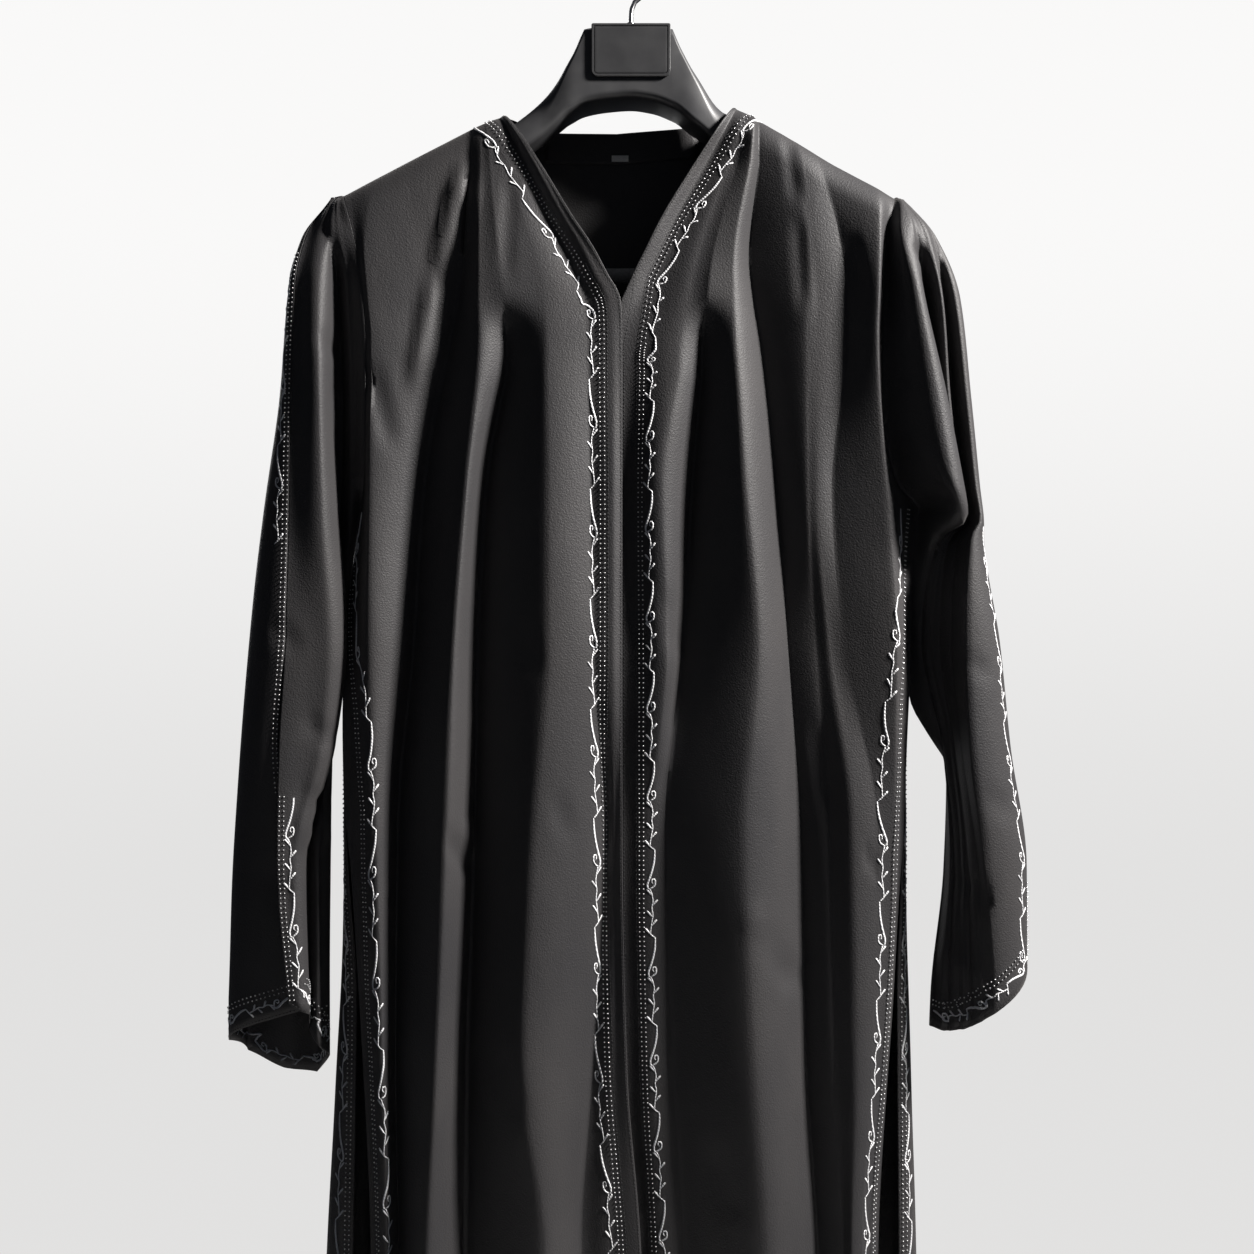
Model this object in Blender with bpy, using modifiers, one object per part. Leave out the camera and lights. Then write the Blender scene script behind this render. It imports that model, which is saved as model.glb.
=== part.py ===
"""An open-front abaya hanging from a contoured suit hanger.

The frame: +X to the viewer's right, +Y away from the viewer, +Z up, with the origin on the
underside of the hook's top, where a rail holds it. Left and right are the viewer's.
The tables are in millimetres and the meshes in metres.

Every cloth piece is one thin wall. Its shape is read from a few fold lines that run down the
cloth, each with its place across and its depth at a short list of heights.
"""
import math
from collections import namedtuple

import bmesh
import bpy
import numpy as np

MM = 0.001
OBJECT_NAME = "abaya_on_hanger"

# Cloth
WALL = 1.4
SEAM_GAP = 0.3
LAYER_STEP = WALL + SEAM_GAP
SEAM_FOLD = 0.5 * LAYER_STEP
HEM_HEIGHT = -1585
SHOULDER_ROLL = 30
SEAM_SLIVER = 0.07
FOLD_POWER = 1.8

# Closing strip, neck facing and label
PLACKET_WIDTH = 18
PLACKET_STEP = 2.0
PLACKET_COLUMNS = 5
LAPPED_COLUMNS = 10
PLACKET_TOP = -318
PLACKET_END = -631
FACING_DEPTH = 26
FACING_INSET = 28
FACING_ROWS = 5
FACING_START = 0.02
LABEL_WIDTH = 14
LABEL_HEIGHT = 9
LABEL_THICKNESS = 1.0
LABEL_CENTRE = -9
LABEL_TOP = -172

# Hook
HOOK_WIRE = 4.0
HOOK_INNER_RADIUS = 24.0
HOOK_START_ANGLE = -66
HOOK_END_ANGLE = 205
HOOK_POINTS = 18
HOOK_FOOT = -79.2
HOOK_STEM = [(0, 0, -66), (0.6, 0, -60), (3.2, 0, -54)]

# Hanger body, plate and bar
HANGER_CLEARANCE = 1.6
WING_HEIGHT = 30
WING_TIP_HEIGHT = 22
WING_HALF_DEPTH = 16
NECK_HALF_DEPTH = 20
WING_START = 45
WING_BLEND = 30
WING_ROUND = 22
WING_SPREAD = 8
WING_SHARES = (0.12, 0.3, 0.5, 0.7, 0.86, 0.95, 1.0)
TOP_CORNER = 8
TOP_SHARE = 0.7
LOW_CORNER = 6
LOW_SHARE = 0.25
HANGER_TIP_INSET = 6
UNDER_CLOTH = 80
PLATE_WIDTH = 64
PLATE_HEIGHT = 43
PLATE_THICKNESS = 2.4
PLATE_CORNER = 5
PLATE_TOP = -80.5
BAR_RADIUS = 6.5
BAR_HEIGHT = -280
BAR_HALF_SPAN = 160
BAR_BEND = 16
BAR_SEAT = 3.25

# How the cloth runs from one fold line to the next
RISE = "rise"      # level at both lines, as half a wave
FALL = "fall"      # level at the first line, sloping into a crease at the second
CLIMB = "climb"    # sloping up from a crease, level at the second line
OVER = "over"      # level at the first line, turned right away at the second
UP = "up"          # turned right away at the first line, level at the second
FLAT = "flat"      # straight

Line = namedtuple("Line", "name bend across depth")
Spot = namedtuple("Spot", "height across depth")
Finish = namedtuple("Finish", "colour roughness metallic")

FINISHES = {
    "crepe": Finish((0.036, 0.035, 0.037), 0.45, 0.0),
    "label_tape": Finish((0.55, 0.47, 0.36), 0.80, 0.0),
    "hanger_plastic": Finish((0.060, 0.060, 0.062), 0.42, 0.0),
    "plate_plastic": Finish((0.045, 0.045, 0.047), 0.35, 0.0),
    "steel": Finish((0.62, 0.62, 0.63), 0.25, 1.0),
    "bar_felt": Finish((0.16, 0.15, 0.15), 0.90, 0.0),
}

# Shoulder ridges, from the neck out to the tip: across, height
SHOULDER_LEFT = ((-104, -150), (-128, -159), (-182, -187), (-235.5, -215))
SHOULDER_RIGHT = ((85, -143), (108, -155), (164, -189), (216, -217))

# Armholes and, below them, the front panels' side edges
SIDE_LEFT = (
    Spot(-215, -235.5, -22), Spot(-245, -226, -23), Spot(-290, -218, -25), Spot(-350, -213.5, -28),
    Spot(-400, -214, -25), Spot(-440, -217, -15), Spot(-470, -222, -0.85), Spot(-520, -228, -5),
    Spot(-580, -233, -14), Spot(-640, -233, -24), Spot(-700, -232, -25), Spot(-770, -226, -24),
    Spot(-867, -220, -22), Spot(-1067, -211, -20), Spot(HEM_HEIGHT, -206, -27),
)
SIDE_RIGHT = (
    Spot(-217, 216, -22), Spot(-245, 209, -23), Spot(-290, 204.5, -25), Spot(-345, 202, -28),
    Spot(-385, 202, -26), Spot(-425, 207, -20), Spot(-455, 220, -10), Spot(-470, 236, -0.85),
    Spot(-520, 232, -2), Spot(-570, 229, -9), Spot(-627, 226, -17), Spot(-740, 221, -17),
    Spot(-790, 218, -15), Spot(-867, 214, -13), Spot(-1067, 202, -12), Spot(HEM_HEIGHT, 196, -12),
)
ARMHOLE_BOTTOM = -470

# Neck edges of the fronts, from the neck point down to where each turns into its front edge:
# across, height
NECK_EDGE_LEFT = (
    (-104, -150), (-84, -179), (-67.5, -205), (-46.5, -240), (-30.5, -264), (-17.7, -288),
    (-8.8, -304), (-7.2, -323), (-7, -365),
)
NECK_EDGE_RIGHT = (
    (85, -143), (66, -172), (43.5, -207), (23.3, -241), (10.4, -267), (2.4, -283), (-5.6, -301),
    (-15, -320), (-24, -338), (-29, -365),
)
NECK_ZONE_END = -365
BACK_NECK_EDGE = ((-60, -153), (-12, -154), (45, -149))
NECK_TURN_LEFT = 30
NECK_TURN_RIGHT = 6

# Fold lines of the fronts, from the viewer's left to right, at these heights
LEVELS = (-195, -267, -306, -335, -455, -587, -727, -925, -1067, HEM_HEIGHT)
FRONT_LEFT_LINES = (
    Line("side", RISE, None, None),
    Line("side fold", FALL, (-202, -214, -211, -208, -209, -208, -204, -199, -196, -196),
         (-25, -27, -28, -30, -33, -38, -38, -34, -32, -40)),
    Line("side crease", CLIMB, (-136, -143, -149, -154, -168, -177, -190, -192, -189, -186),
         (-22, -17, -15, -14, -13, -13, -14, -15, -16, -14)),
    Line("middle fold", FALL, (-123, -124, -125, -127, -134, -141, -147, -155, -162, -170),
         (-29, -37, -39, -41, -43, -45, -47, -47, -46, -54)),
    Line("middle crease", CLIMB, (-96, -97, -96, -101, -119, -126, -128, -134, -136, -143),
         (-27, -34, -35, -21, -13, -12, -12, -12, -12, -12)),
    Line("front fold", FALL, (-62, -64, -68, -68, -66, -66, -77, -85, -69, -72),
         (-27, -33, -35, -38, -46, -48, -49, -49, -45, -54)),
    Line("strip groove", RISE, (-34, -34, -34, -34, -32, -30, -20, -31, -41, -40),
         (-26, -31, -32, -33, -35, -37, -25, -19, -17, -18)),
    Line("closing strip", RISE, (-15, -15, -15, -15, -15, -15, -13, -14, -16, 0),
         (-27, -31, -33, -35, -38, -39, -29, -24, -22, -26)),
    Line("front edge", RISE, (-7, -7, -7, -7, -7, -7, -7, -3, 8, 24),
         (-26, -30, -32, -33, -35, -36, -31, -27, -25, -28)),
)
FRONT_RIGHT_LINES = (
    Line("under edge", RISE, (-29, -29, -29, -29, -29, -29, -29, -25, -17, 0),
         (-22, -26, -27, -27, -29, -30, -21, -15, -13, -16)),
    Line("lap", RISE, (-7, -7, -7, -7, -7, -7, -7, -3, 8, 24),
         (-23, -27, -28, -28, -30, -31, -22, -16, -14, -17)),
    Line("front fold", FALL, (34, 36, 40, 40, 24, 28, 16, 19, 28, 40),
         (-26, -31, -34, -36, -43, -41, -27, -22, -20, -22)),
    Line("front crease", CLIMB, (53, 54, 58, 58, 49, 41, 28, 34, 43, 54),
         (-27, -34, -38, -25, -16, -19, -24, -19, -17, -18)),
    Line("middle fold", FALL, (83, 75, 77, 81, 90, 100, 89, 97, 107, 118),
         (-33, -38, -40, -43, -47, -48, -50, -50, -48, -58)),
    Line("middle crease", CLIMB, (103, 94, 97, 101, 117, 128, 138, 143, 152, 166),
         (-22, -12, -12, -12, -13, -13, -13, -13, -13, -12)),
    Line("inner bend", RISE, (124, 132, 133, 134, 139, 149, 158, 163, 170, 183),
         (-24, -24, -25, -26, -28, -27, -26, -26, -24, -24)),
    Line("side fold", FALL, (137, 145, 146, 146, 149, 159, 179, 181, 178, 187),
         (-27, -30, -31, -32, -36, -37, -38, -34, -30, -34)),
    Line("side crease", CLIMB, (156, 164, 164, 163, 162, 171, 197, 193, 186, 190.5),
         (-24, -24, -24, -24, -26, -28, -28, -25, -24, -24)),
    Line("armhole fold", RISE, (196, 192, 192, 193, 201, 206, 208, 202, 193.5, 193.5),
         (-25, -30, -32, -34, -34, -30, -29, -24, -22, -22)),
    Line("side", RISE, None, None),
)

KEPT_LEFT = 3
KEPT_RIGHT = 5

# Back panel: its side edges wrap round to the front below the side seams
BACK_EDGE_LEFT = (
    Spot(-470, -222, 0.85), Spot(-520, -228, -3.3), Spot(-580, -233, -12.3), Spot(-640, -233, -22.3),
    Spot(-700, -232, -23.3), Spot(-770, -229, -18), Spot(-867, -224, -9), Spot(-1067, -227, -8),
    Spot(HEM_HEIGHT, -234, -6),
)
BACK_EDGE_RIGHT = (
    Spot(-470, 236, 0.85), Spot(-520, 232, -0.3), Spot(-570, 229, -7.3), Spot(-627, 226, -15.3),
    Spot(-740, 221, -15.3), Spot(-790, 220, -11), Spot(-867, 218, -7), Spot(-1067, 219, -8),
    Spot(HEM_HEIGHT, 225, -6),
)
BACK_LEVELS = (-187, -335, -425, -470, -700, -867, -1067, HEM_HEIGHT)
BACK_LINES = (
    Line("left edge", OVER, None, None),
    Line("left turn", UP, (-218, -203, -206, -214, -234, -240, -252, -282),
         (24, 30, 27, 16, 12, 10, 14, 18)),
    Line("fold 1", RISE, (-200, -192, -197, -200, -206, -214, -226, -250),
         (26, 32, 35, 36, 40, 42, 44, 50)),
    Line("hollow 1", RISE, (-160, -160, -164, -166, -170, -176, -184, -200),
         (26, 24, 20, 18, 15, 14, 14, 14)),
    Line("fold 2", RISE, (-124, -122, -125, -126, -132, -136, -142, -154),
         (27, 30, 36, 38, 44, 46, 48, 54)),
    Line("hollow 2", RISE, (-92, -86, -87, -88, -90, -92, -96, -104),
         (27, 26, 20, 18, 14, 14, 14, 14)),
    Line("fold 3", RISE, (-60, -54, -53, -52, -50, -50, -52, -54),
         (27, 29, 34, 36, 40, 42, 44, 48)),
    Line("centre back", RISE, (-12, -12, -12, -12, -12, -12, -10, -6),
         (26, 24, 20, 18, 16, 15, 15, 15)),
    Line("fold 4", RISE, (34, 34, 35, 36, 38, 38, 38, 42),
         (27, 29, 34, 36, 42, 44, 46, 50)),
    Line("hollow 3", RISE, (79, 76, 75, 74, 76, 78, 82, 90),
         (27, 26, 20, 18, 14, 14, 14, 14)),
    Line("fold 5", RISE, (93, 108, 111, 112, 116, 120, 126, 140),
         (27, 31, 36, 38, 44, 46, 48, 54)),
    Line("hollow 4", RISE, (136, 146, 152, 154, 156, 158, 164, 182),
         (26, 24, 19, 17, 14, 14, 14, 14)),
    Line("fold 6", OVER, (180, 180, 187, 200, 198, 200, 206, 224),
         (25, 30, 33, 34, 36, 38, 38, 44)),
    Line("right turn", UP, (198, 191, 197, 220, 225, 230, 236, 254),
         (24, 29, 28, 16, 10, 10, 12, 16)),
    Line("right edge", RISE, None, None),
)

# Left sleeve, each half from the viewer's left to right
SLEEVE_LEFT_LEVELS = (-216, -224, -250, -290, -385, -477, -580, -665, -760, -872)
SLEEVE_LEFT_UNDERARM = (
    Spot(-470, -222.6, 0), Spot(-520, -230.5, 4), Spot(-580, -235.5, 6), Spot(-610, -237, 6),
    Spot(-640, -242, 6), Spot(-665, -247, 6), Spot(-760, -248, 2), Spot(-872, -248.5, 0),
    Spot(-960, -248.5, 0),
)
SLEEVE_LEFT_FRONT = (
    Line("top of arm", RISE,
         (-244, -250, -264, -270, -272, -273, -275, -280.5, -282.5, -273.5),
         (-1, -4, -14, -26, -34, -38, -42, -40, -38, -36)),
    Line("front fold", OVER,
         (-242.6, -246, -250, -251, -248.5, -246.5, -243, -250, -272, -266),
         (-1.4, -8, -24, -36, -44, -46, -50, -46, -41, -37)),
    Line("front fold edge", FLAT,
         (-241.2, -243, -245, -243, -242, -237.5, -230, -239.5, -263, -259.5),
         (-1.6, -9, -18, -22, -20, -20, -24, -22, -26, -27)),
    Line("hollow", RISE,
         (-239.8, -241, -242, -241, -238, -240, -246, -251, -265, -263),
         (-2.6, -10, -14, -8, 0, 1, 0, -4, -10, -11)),
    Line("inner fold", RISE,
         (-238.2, -238.5, -234, -229, -226, -230, -241, -248, -254, -254),
         (-3.4, -11, -18, -22, -20, -6, 4, 0, -18, -18)),
    Line("seam", RISE, None, None),
)
SLEEVE_LEFT_BACK = (
    Line("top of arm", OVER,
         (-244.6, -250.6, -264.6, -270.4, -272.3, -273.3, -275.3, -281.3, -273.5, -264.5),
         (-1, -4, -14, -26, -34, -38, -42, -37, -32, -30)),
    Line("outer turn", UP,
         (-247, -252, -269, -278, -286, -300, -311.5, -318, -325, -330),
         (0.4, 0, -3, -6, -9, -9, -8, -8, -6, -5)),
    Line("back fold", RISE,
         (-243.5, -248, -262, -268, -277, -290, -303, -310, -318, -325),
         (2.5, 7, 18, 24, 27, 27, 30, 32, 34, 36)),
    Line("back hollow", RISE,
         (-241, -245, -251, -254, -256, -264, -273, -280, -286, -292),
         (3.2, 9, 19, 24, 24, 22, 22, 23, 24, 26)),
    Line("inner back fold", RISE,
         (-238.6, -240, -240, -236, -234, -240, -254, -262, -262, -266),
         (4, 11, 22, 32, 36, 31, 34, 34, 34, 34)),
    Line("seam", RISE, None, None),
)
CUFF_LEFT_FRONT = (-870, -875, -881, -897, -908, -922)
CUFF_LEFT_BACK = (-877, -908, -928, -940, -946, -922)

# Right sleeve
SLEEVE_RIGHT_LEVELS = (-217, -224, -250, -300, -385, -455, -482, -498, -580, -665, -760, -850)
SLEEVE_RIGHT_UNDERARM = (
    Spot(-470, 236.6, 0), Spot(-498, 236.5, 3), Spot(-560, 232, 6), Spot(-600, 230, 8),
    Spot(-630, 232, 8), Spot(-660, 248, 8), Spot(-685, 262, 8), Spot(-770, 259, 6),
    Spot(-872, 247.5, 2), Spot(-960, 245, 2),
)
SLEEVE_RIGHT_FRONT = (
    Line("seam", RISE, None, None),
    Line("bulge", OVER,
         (217.6, 219, 214, 218, 236, 252, 259, 250, 245, 268, 266, 256),
         (-4.2, -12, -22, -40, -44, -46, -38, -8, 2, 0, -6, -10)),
    Line("bulge edge", FLAT,
         (218.6, 221, 223, 228.5, 251, 265.5, 270, 256, 250, 269.5, 268, 260),
         (-4, -10, -16, -24, -26, -28, -22, -7, 0, -2, -10, -14)),
    Line("first hollow", RISE,
         (219.6, 222, 226, 237, 254, 268, 272.5, 261, 255, 271, 270, 265),
         (-3.2, -9, -12, -9, -15, -16, -12, -7, -2, -5, -14, -18)),
    Line("second fold", OVER,
         (220.6, 224, 235, 246, 257, 270, 274.5, 264, 258, 272, 272, 270),
         (-3, -8, -20, -28, -22, -14, -9, -7, -4, -9, -19, -23)),
    Line("second fold edge", FLAT,
         (221.4, 225.5, 239.5, 252, 260, 272, 276, 267, 261, 273, 274, 275),
         (-2.5, -7, -14, -16, -12, -9, -7, -8, -6, -14, -25, -28)),
    Line("second hollow", RISE,
         (222.2, 227, 243, 257, 265, 274, 278, 271, 265, 274.5, 277, 281),
         (-1.7, -6, -10, -7, -7, -6, -8, -12, -14, -24, -33, -34)),
    Line("outer fold", OVER,
         (223, 228.5, 247, 263, 271.5, 277.5, 281.5, 279, 276, 279, 284, 292),
         (-1.4, -5, -12, -20, -24, -28, -33, -37, -42, -43, -42, -39)),
    Line("top of arm", RISE,
         (224.4, 231, 250.5, 269.5, 278, 284, 286, 286.5, 299, 308.5, 321.5, 322),
         (0, -0.3, -1, -4, -6, -8, -9, -10, -12, -12, -13, -14)),
)
SLEEVE_RIGHT_BACK = (
    Line("seam", RISE, None, None),
    Line("inner back fold", RISE,
         (218, 219, 217, 222, 226, 238, 245, 247, 250, 274, 270, 262),
         (4.2, 12, 22, 32, 36, 34, 32, 32, 34, 34, 34, 34)),
    Line("back hollow", RISE,
         (220.4, 222, 228, 240, 246, 256, 260, 261, 266, 284, 285, 282),
         (3.4, 11, 20, 24, 25, 24, 23, 22, 22, 22, 23, 24)),
    Line("back fold", OVER,
         (223, 227, 240, 258, 266, 272, 274, 275, 287, 298, 310, 311),
         (2, 8, 15, 22, 25, 26, 27, 27, 30, 32, 34, 36)),
    Line("top of arm", RISE,
         (224.4, 231, 250.5, 269.5, 278, 284, 286, 286.5, 299, 308.5, 321.5, 322),
         (0.3, 0, -0.7, -3.7, -5.7, -7.7, -8.7, -9.7, -11.7, -11.7, -12.7, -13.7)),
)
CUFF_RIGHT_FRONT = (-898, -899, -898, -896, -894, -890, -885, -876, -842)
CUFF_RIGHT_BACK = (-898, -905, -900, -886, -850)

# Rows of the cloth grids. Down to UPPER_END a row is a share of the way from the shoulder.
UPPER_END = -420
UPPER_SHARES = (0, 0.003, 0.014, 0.036, 0.072, 0.125, 0.20, 0.30, 0.42, 0.55, 0.68, 0.84, 1.0)
FRONT_ROWS = (-445, -470, -500, -540, -587, -631, -680, -735, -790, -850, -925, -1000, -1085,
              -1185, -1300, -1440, HEM_HEIGHT)
BACK_ROWS = (-445, -470, -500, -540, -587, -631, -700, -770, -850, -925, -1000, -1085,
             -1185, -1300, -1440, HEM_HEIGHT)
SLEEVE_ROWS = (-445, -470, -484, -500, -540, -587, -640, -665, -695, -750, -800, -843)
SLANT_START = -610
FRONT_STEPS = 3
BACK_STEPS = 2
SLEEVE_STEPS = 2
RIDGE_STEPS = 6

# Hanger sections, from its left tip to its right tip inside the neck: across, top, bottom
HANGER_NECK = (
    (-104, -152, -190), (-84, -149, -182), (-66, -136, -170), (-54, -122, -160),
    (-47, -108, -154), (-42, -92, -151), (-38, -82, -149), (-20, -80, -146), (0, -80, -144),
    (18, -80, -146), (34, -82, -152), (38, -92, -155), (43, -107, -160), (52, -121, -167),
    (64, -134, -174), (78, -143, -180), (85, -145, -183),
)


def smooth_between(levels, values, at):
    """Read a table at other heights: a cubic through the values that never overshoots them."""
    order = np.argsort(levels)
    x = np.asarray(levels, float)[order]
    y = np.asarray(values, float)[order]
    step = np.diff(x)
    slope = np.diff(y) / step
    tangent = np.zeros(len(x))
    same_way = slope[:-1] * slope[1:] > 0
    left, right = 2 * step[1:] + step[:-1], step[1:] + 2 * step[:-1]
    with np.errstate(divide="ignore", invalid="ignore"):
        mean = (left + right) / (left / slope[:-1] + right / slope[1:])
    tangent[1:-1] = np.where(same_way, mean, 0.0)
    tangent[0], tangent[-1] = slope[0], slope[-1]
    at = np.clip(np.asarray(at, float), x[0], x[-1])
    i = np.clip(np.searchsorted(x, at) - 1, 0, len(step) - 1)
    t = (at - x[i]) / step[i]
    return (y[i] * (1 + 2 * t) * (1 - t) ** 2 + y[i + 1] * (3 - 2 * t) * t ** 2
            + step[i] * (tangent[i] * t * (1 - t) ** 2 - tangent[i + 1] * (1 - t) * t ** 2))


def ease(t):
    """A smooth step from 0 to 1."""
    t = np.clip(t, 0, 1)
    return t * t * (3 - 2 * t)


def shoulder_height(ridge, across):
    """Height of a shoulder's ridge, held level past the neck point and the tip."""
    points = sorted(ridge)
    return np.interp(across, [p[0] for p in points], [p[1] for p in points])


def edge_at(spots, height):
    """Across and depth of an edge at some heights."""
    heights = [spot.height for spot in spots]
    return (smooth_between(heights, [spot.across for spot in spots], height),
            smooth_between(heights, [spot.depth for spot in spots], height))


def neck_edge_at(edge, height):
    """Across of a front's neck edge at some heights."""
    return smooth_between([point[1] for point in edge], [point[0] for point in edge], height)


def shoulder_roll(ridge, across, height):
    """How far the cloth has come over the shoulder: 0 on the ridge, 1 once it hangs free."""
    drop = shoulder_height(ridge, across) - height
    share = np.clip(drop / SHOULDER_ROLL, 0, 1)
    return np.sqrt(1 - (1 - share) ** 2)


def lines_at(lines, levels, height, first, last):
    """Across and depth of every fold line at some heights. The first or last line may be an
    edge of the piece, given as a pair of arrays."""
    across, depth = [], []
    for line in lines:
        if line.across is not None:
            across.append(smooth_between(levels, line.across, height))
            depth.append(smooth_between(levels, line.depth, height))
        else:
            edge = first if not across else last
            across.append(edge[0])
            depth.append(edge[1])
    return np.array(across), np.array(depth)


def between(bend, x0, y0, x1, y1, t):
    """A point of the section, a share t of the way from one fold line to the next."""
    if bend == RISE:
        return x0 + (x1 - x0) * t, y0 + (y1 - y0) * (1 - np.cos(np.pi * t)) / 2
    if bend == FALL:
        return x0 + (x1 - x0) * t, y0 + (y1 - y0) * t ** FOLD_POWER
    if bend == CLIMB:
        return x0 + (x1 - x0) * t, y1 + (y0 - y1) * (1 - t) ** FOLD_POWER
    if bend == OVER:
        turn = t * np.pi / 2
        return x0 + (x1 - x0) * np.sin(turn), y1 + (y0 - y1) * np.cos(turn)
    if bend == UP:
        turn = t * np.pi / 2
        return x1 + (x0 - x1) * np.cos(turn), y0 + (y1 - y0) * np.sin(turn)
    return x0 + (x1 - x0) * t, y0 + (y1 - y0) * t


def section_point(lines, across, depth, place):
    """The section's point at a place counted in fold lines, such as 2.5 between two of them."""
    i = min(int(place), len(lines) - 2)
    return between(lines[i].bend, across[i], depth[i], across[i + 1], depth[i + 1], place - i)


def places_along(lines, steps, seams):
    """Places of the grid's columns: a few to each stretch, and one close to each seamed edge."""
    places = []
    for i, line in enumerate(lines[:-1]):
        count = 1 if line.bend == FLAT else steps
        places += [i + k / count for k in range(count)]
    places.append(len(lines) - 1)
    if "first" in seams:
        places.insert(1, SEAM_SLIVER)
    if "last" in seams:
        places.insert(-1, len(lines) - 1 - SEAM_SLIVER)
    return places


def section_points(lines, levels, places, height, first, last):
    """Across and depth of every column at its own height, and the fold lines' places across."""
    across, depth = lines_at(lines, levels, height, first, last)
    points = [section_point(lines, across[:, column], depth[:, column], place)
              for column, place in enumerate(places)]
    x, y = np.array(points).T
    return x, y, across


def upper_heights(top):
    """Heights of the upper rows, for columns that start at these heights."""
    return [top + share * (UPPER_END - top) for share in UPPER_SHARES]


def panel_heights(top, rows):
    """Heights of a panel's grid points: the upper rows follow the shoulder, the rest are level."""
    return upper_heights(top) + [np.full(len(top), float(row)) for row in rows]


def front_points(lines, ridge, side, neck_edge, kept, steps):
    """Grid of a front panel's middle surface, rows from the shoulder down to the hem. The fold
    lines from the side to the kept one run up to the shoulder. The others crowd together
    between the kept one and the neck edge."""
    side_is_first = lines[0].across is None
    places = np.array(places_along(lines, steps, {"first" if side_is_first else "last"}))
    crowded = places > kept if side_is_first else places < kept

    def section(height):
        edge = edge_at(side, height)
        x, y, across = section_points(lines, LEVELS, places, height, edge, edge)
        return x, y, across[kept]

    low = np.full(len(places), float(NECK_ZONE_END))
    low_x, _, kept_x = section(low)
    low_share = (low_x - kept_x) / (neck_edge_at(neck_edge, low) - kept_x)
    top = np.full(len(places), float(ridge[0][1]))
    for _ in range(RIDGE_STEPS):
        top_x, _, kept_x = section(top)
        top_x = np.where(crowded, kept_x + low_share * (ridge[0][0] - kept_x), top_x)
        top = shoulder_height(ridge, top_x)
    top_share = (top_x - kept_x) / (neck_edge_at(neck_edge, top) - kept_x)

    rows = []
    for height in panel_heights(top, FRONT_ROWS):
        x, y, kept_x = section(height)
        rise = ease((height - NECK_ZONE_END) / (top - NECK_ZONE_END))
        share = low_share + (top_share - low_share) * rise
        crowded_x = kept_x + share * (neck_edge_at(neck_edge, height) - kept_x)
        x = np.where(crowded & (height > NECK_ZONE_END), crowded_x, x)
        y = y * shoulder_roll(ridge, x, height) - SEAM_GAP / 2
        rows.append(np.stack([x, y, height], axis=1))
    return np.array(rows)


def back_points(steps):
    """Grid of the back panel's middle surface."""
    places = places_along(BACK_LINES, steps, {"first", "last"})
    ridge = SHOULDER_LEFT[::-1] + BACK_NECK_EDGE + SHOULDER_RIGHT

    def edge(armhole, below, height):
        x, y = edge_at(armhole, height)
        low_x, low_y = edge_at(below, height)
        on_armhole = height > ARMHOLE_BOTTOM
        return np.where(on_armhole, x, low_x), np.where(on_armhole, -y, low_y)

    def section(height):
        first = edge(SIDE_LEFT, BACK_EDGE_LEFT, height)
        last = edge(SIDE_RIGHT, BACK_EDGE_RIGHT, height)
        return section_points(BACK_LINES, BACK_LEVELS, places, height, first, last)

    top = np.full(len(places), float(SHOULDER_LEFT[0][1]))
    for _ in range(RIDGE_STEPS):
        top = shoulder_height(ridge, section(top)[0])

    rows = []
    for height in panel_heights(top, BACK_ROWS):
        x, y, _ = section(height)
        behind_neck = (ease((x - SHOULDER_LEFT[0][0]) / NECK_TURN_LEFT)
                       * ease((SHOULDER_RIGHT[0][0] - x) / NECK_TURN_RIGHT))
        roll = shoulder_roll(ridge, x, height)
        y = y * (roll + (1 - roll) * behind_neck) + SEAM_GAP / 2
        rows.append(np.stack([x, y, height], axis=1))
    return np.array(rows)


def seam_of_sleeve(side, ridge, underarm, height, face):
    """The sleeve's seam line: the armhole, then the seam under the arm. face is -1 in front."""
    outward = math.copysign(1, side[0].across)
    x, y = edge_at(side, height)
    slope = edge_at(side, height + 1)[0] - x
    y = y * shoulder_roll(ridge, x, height)
    low_x, low_y = edge_at(underarm, height)
    on_armhole = height > ARMHOLE_BOTTOM
    gap = SEAM_GAP * np.sqrt(1 + slope ** 2)
    x = np.where(on_armhole, x + outward * gap, low_x)
    y = np.where(on_armhole, -face * (y - SEAM_GAP / 2), low_y + face * SEAM_FOLD)
    return x, y


def sleeve_points(lines, levels, cuff, face, side, ridge, underarm, steps):
    """Grid of half a sleeve. Its upper rows match the panels' rows along the armhole, and the
    rows below slant to the cuff's edge."""
    places = places_along(lines, steps, {"first", "last"})
    cuff_height = np.interp(places, range(len(lines)), cuff)
    level = np.ones(len(places))
    heights = [height * level for height in upper_heights(ridge[-1][1])[1:] + list(SLEEVE_ROWS)]
    rows = []
    for height in heights:
        slant = ease((SLANT_START - height) / (SLANT_START - SLEEVE_ROWS[-1]))
        height = height + slant * (cuff_height - SLEEVE_ROWS[-1])
        edge = seam_of_sleeve(side, ridge, underarm, height, face)
        x, y, _ = section_points(lines, levels, places, height, edge, edge)
        rows.append(np.stack([x, y, height], axis=1))
    return np.array(rows)


def moved_in(points, distance, face):
    """The points of a layer that lies inside another: the grid moved along its own normals."""
    down = np.gradient(points, axis=0)
    along = np.gradient(points, axis=1)
    normal = np.cross(along, down)
    normal /= np.linalg.norm(normal, axis=2, keepdims=True)
    inward = np.where(normal[..., 1:2] * face > 0, -normal, normal)
    return points + inward * distance


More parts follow.
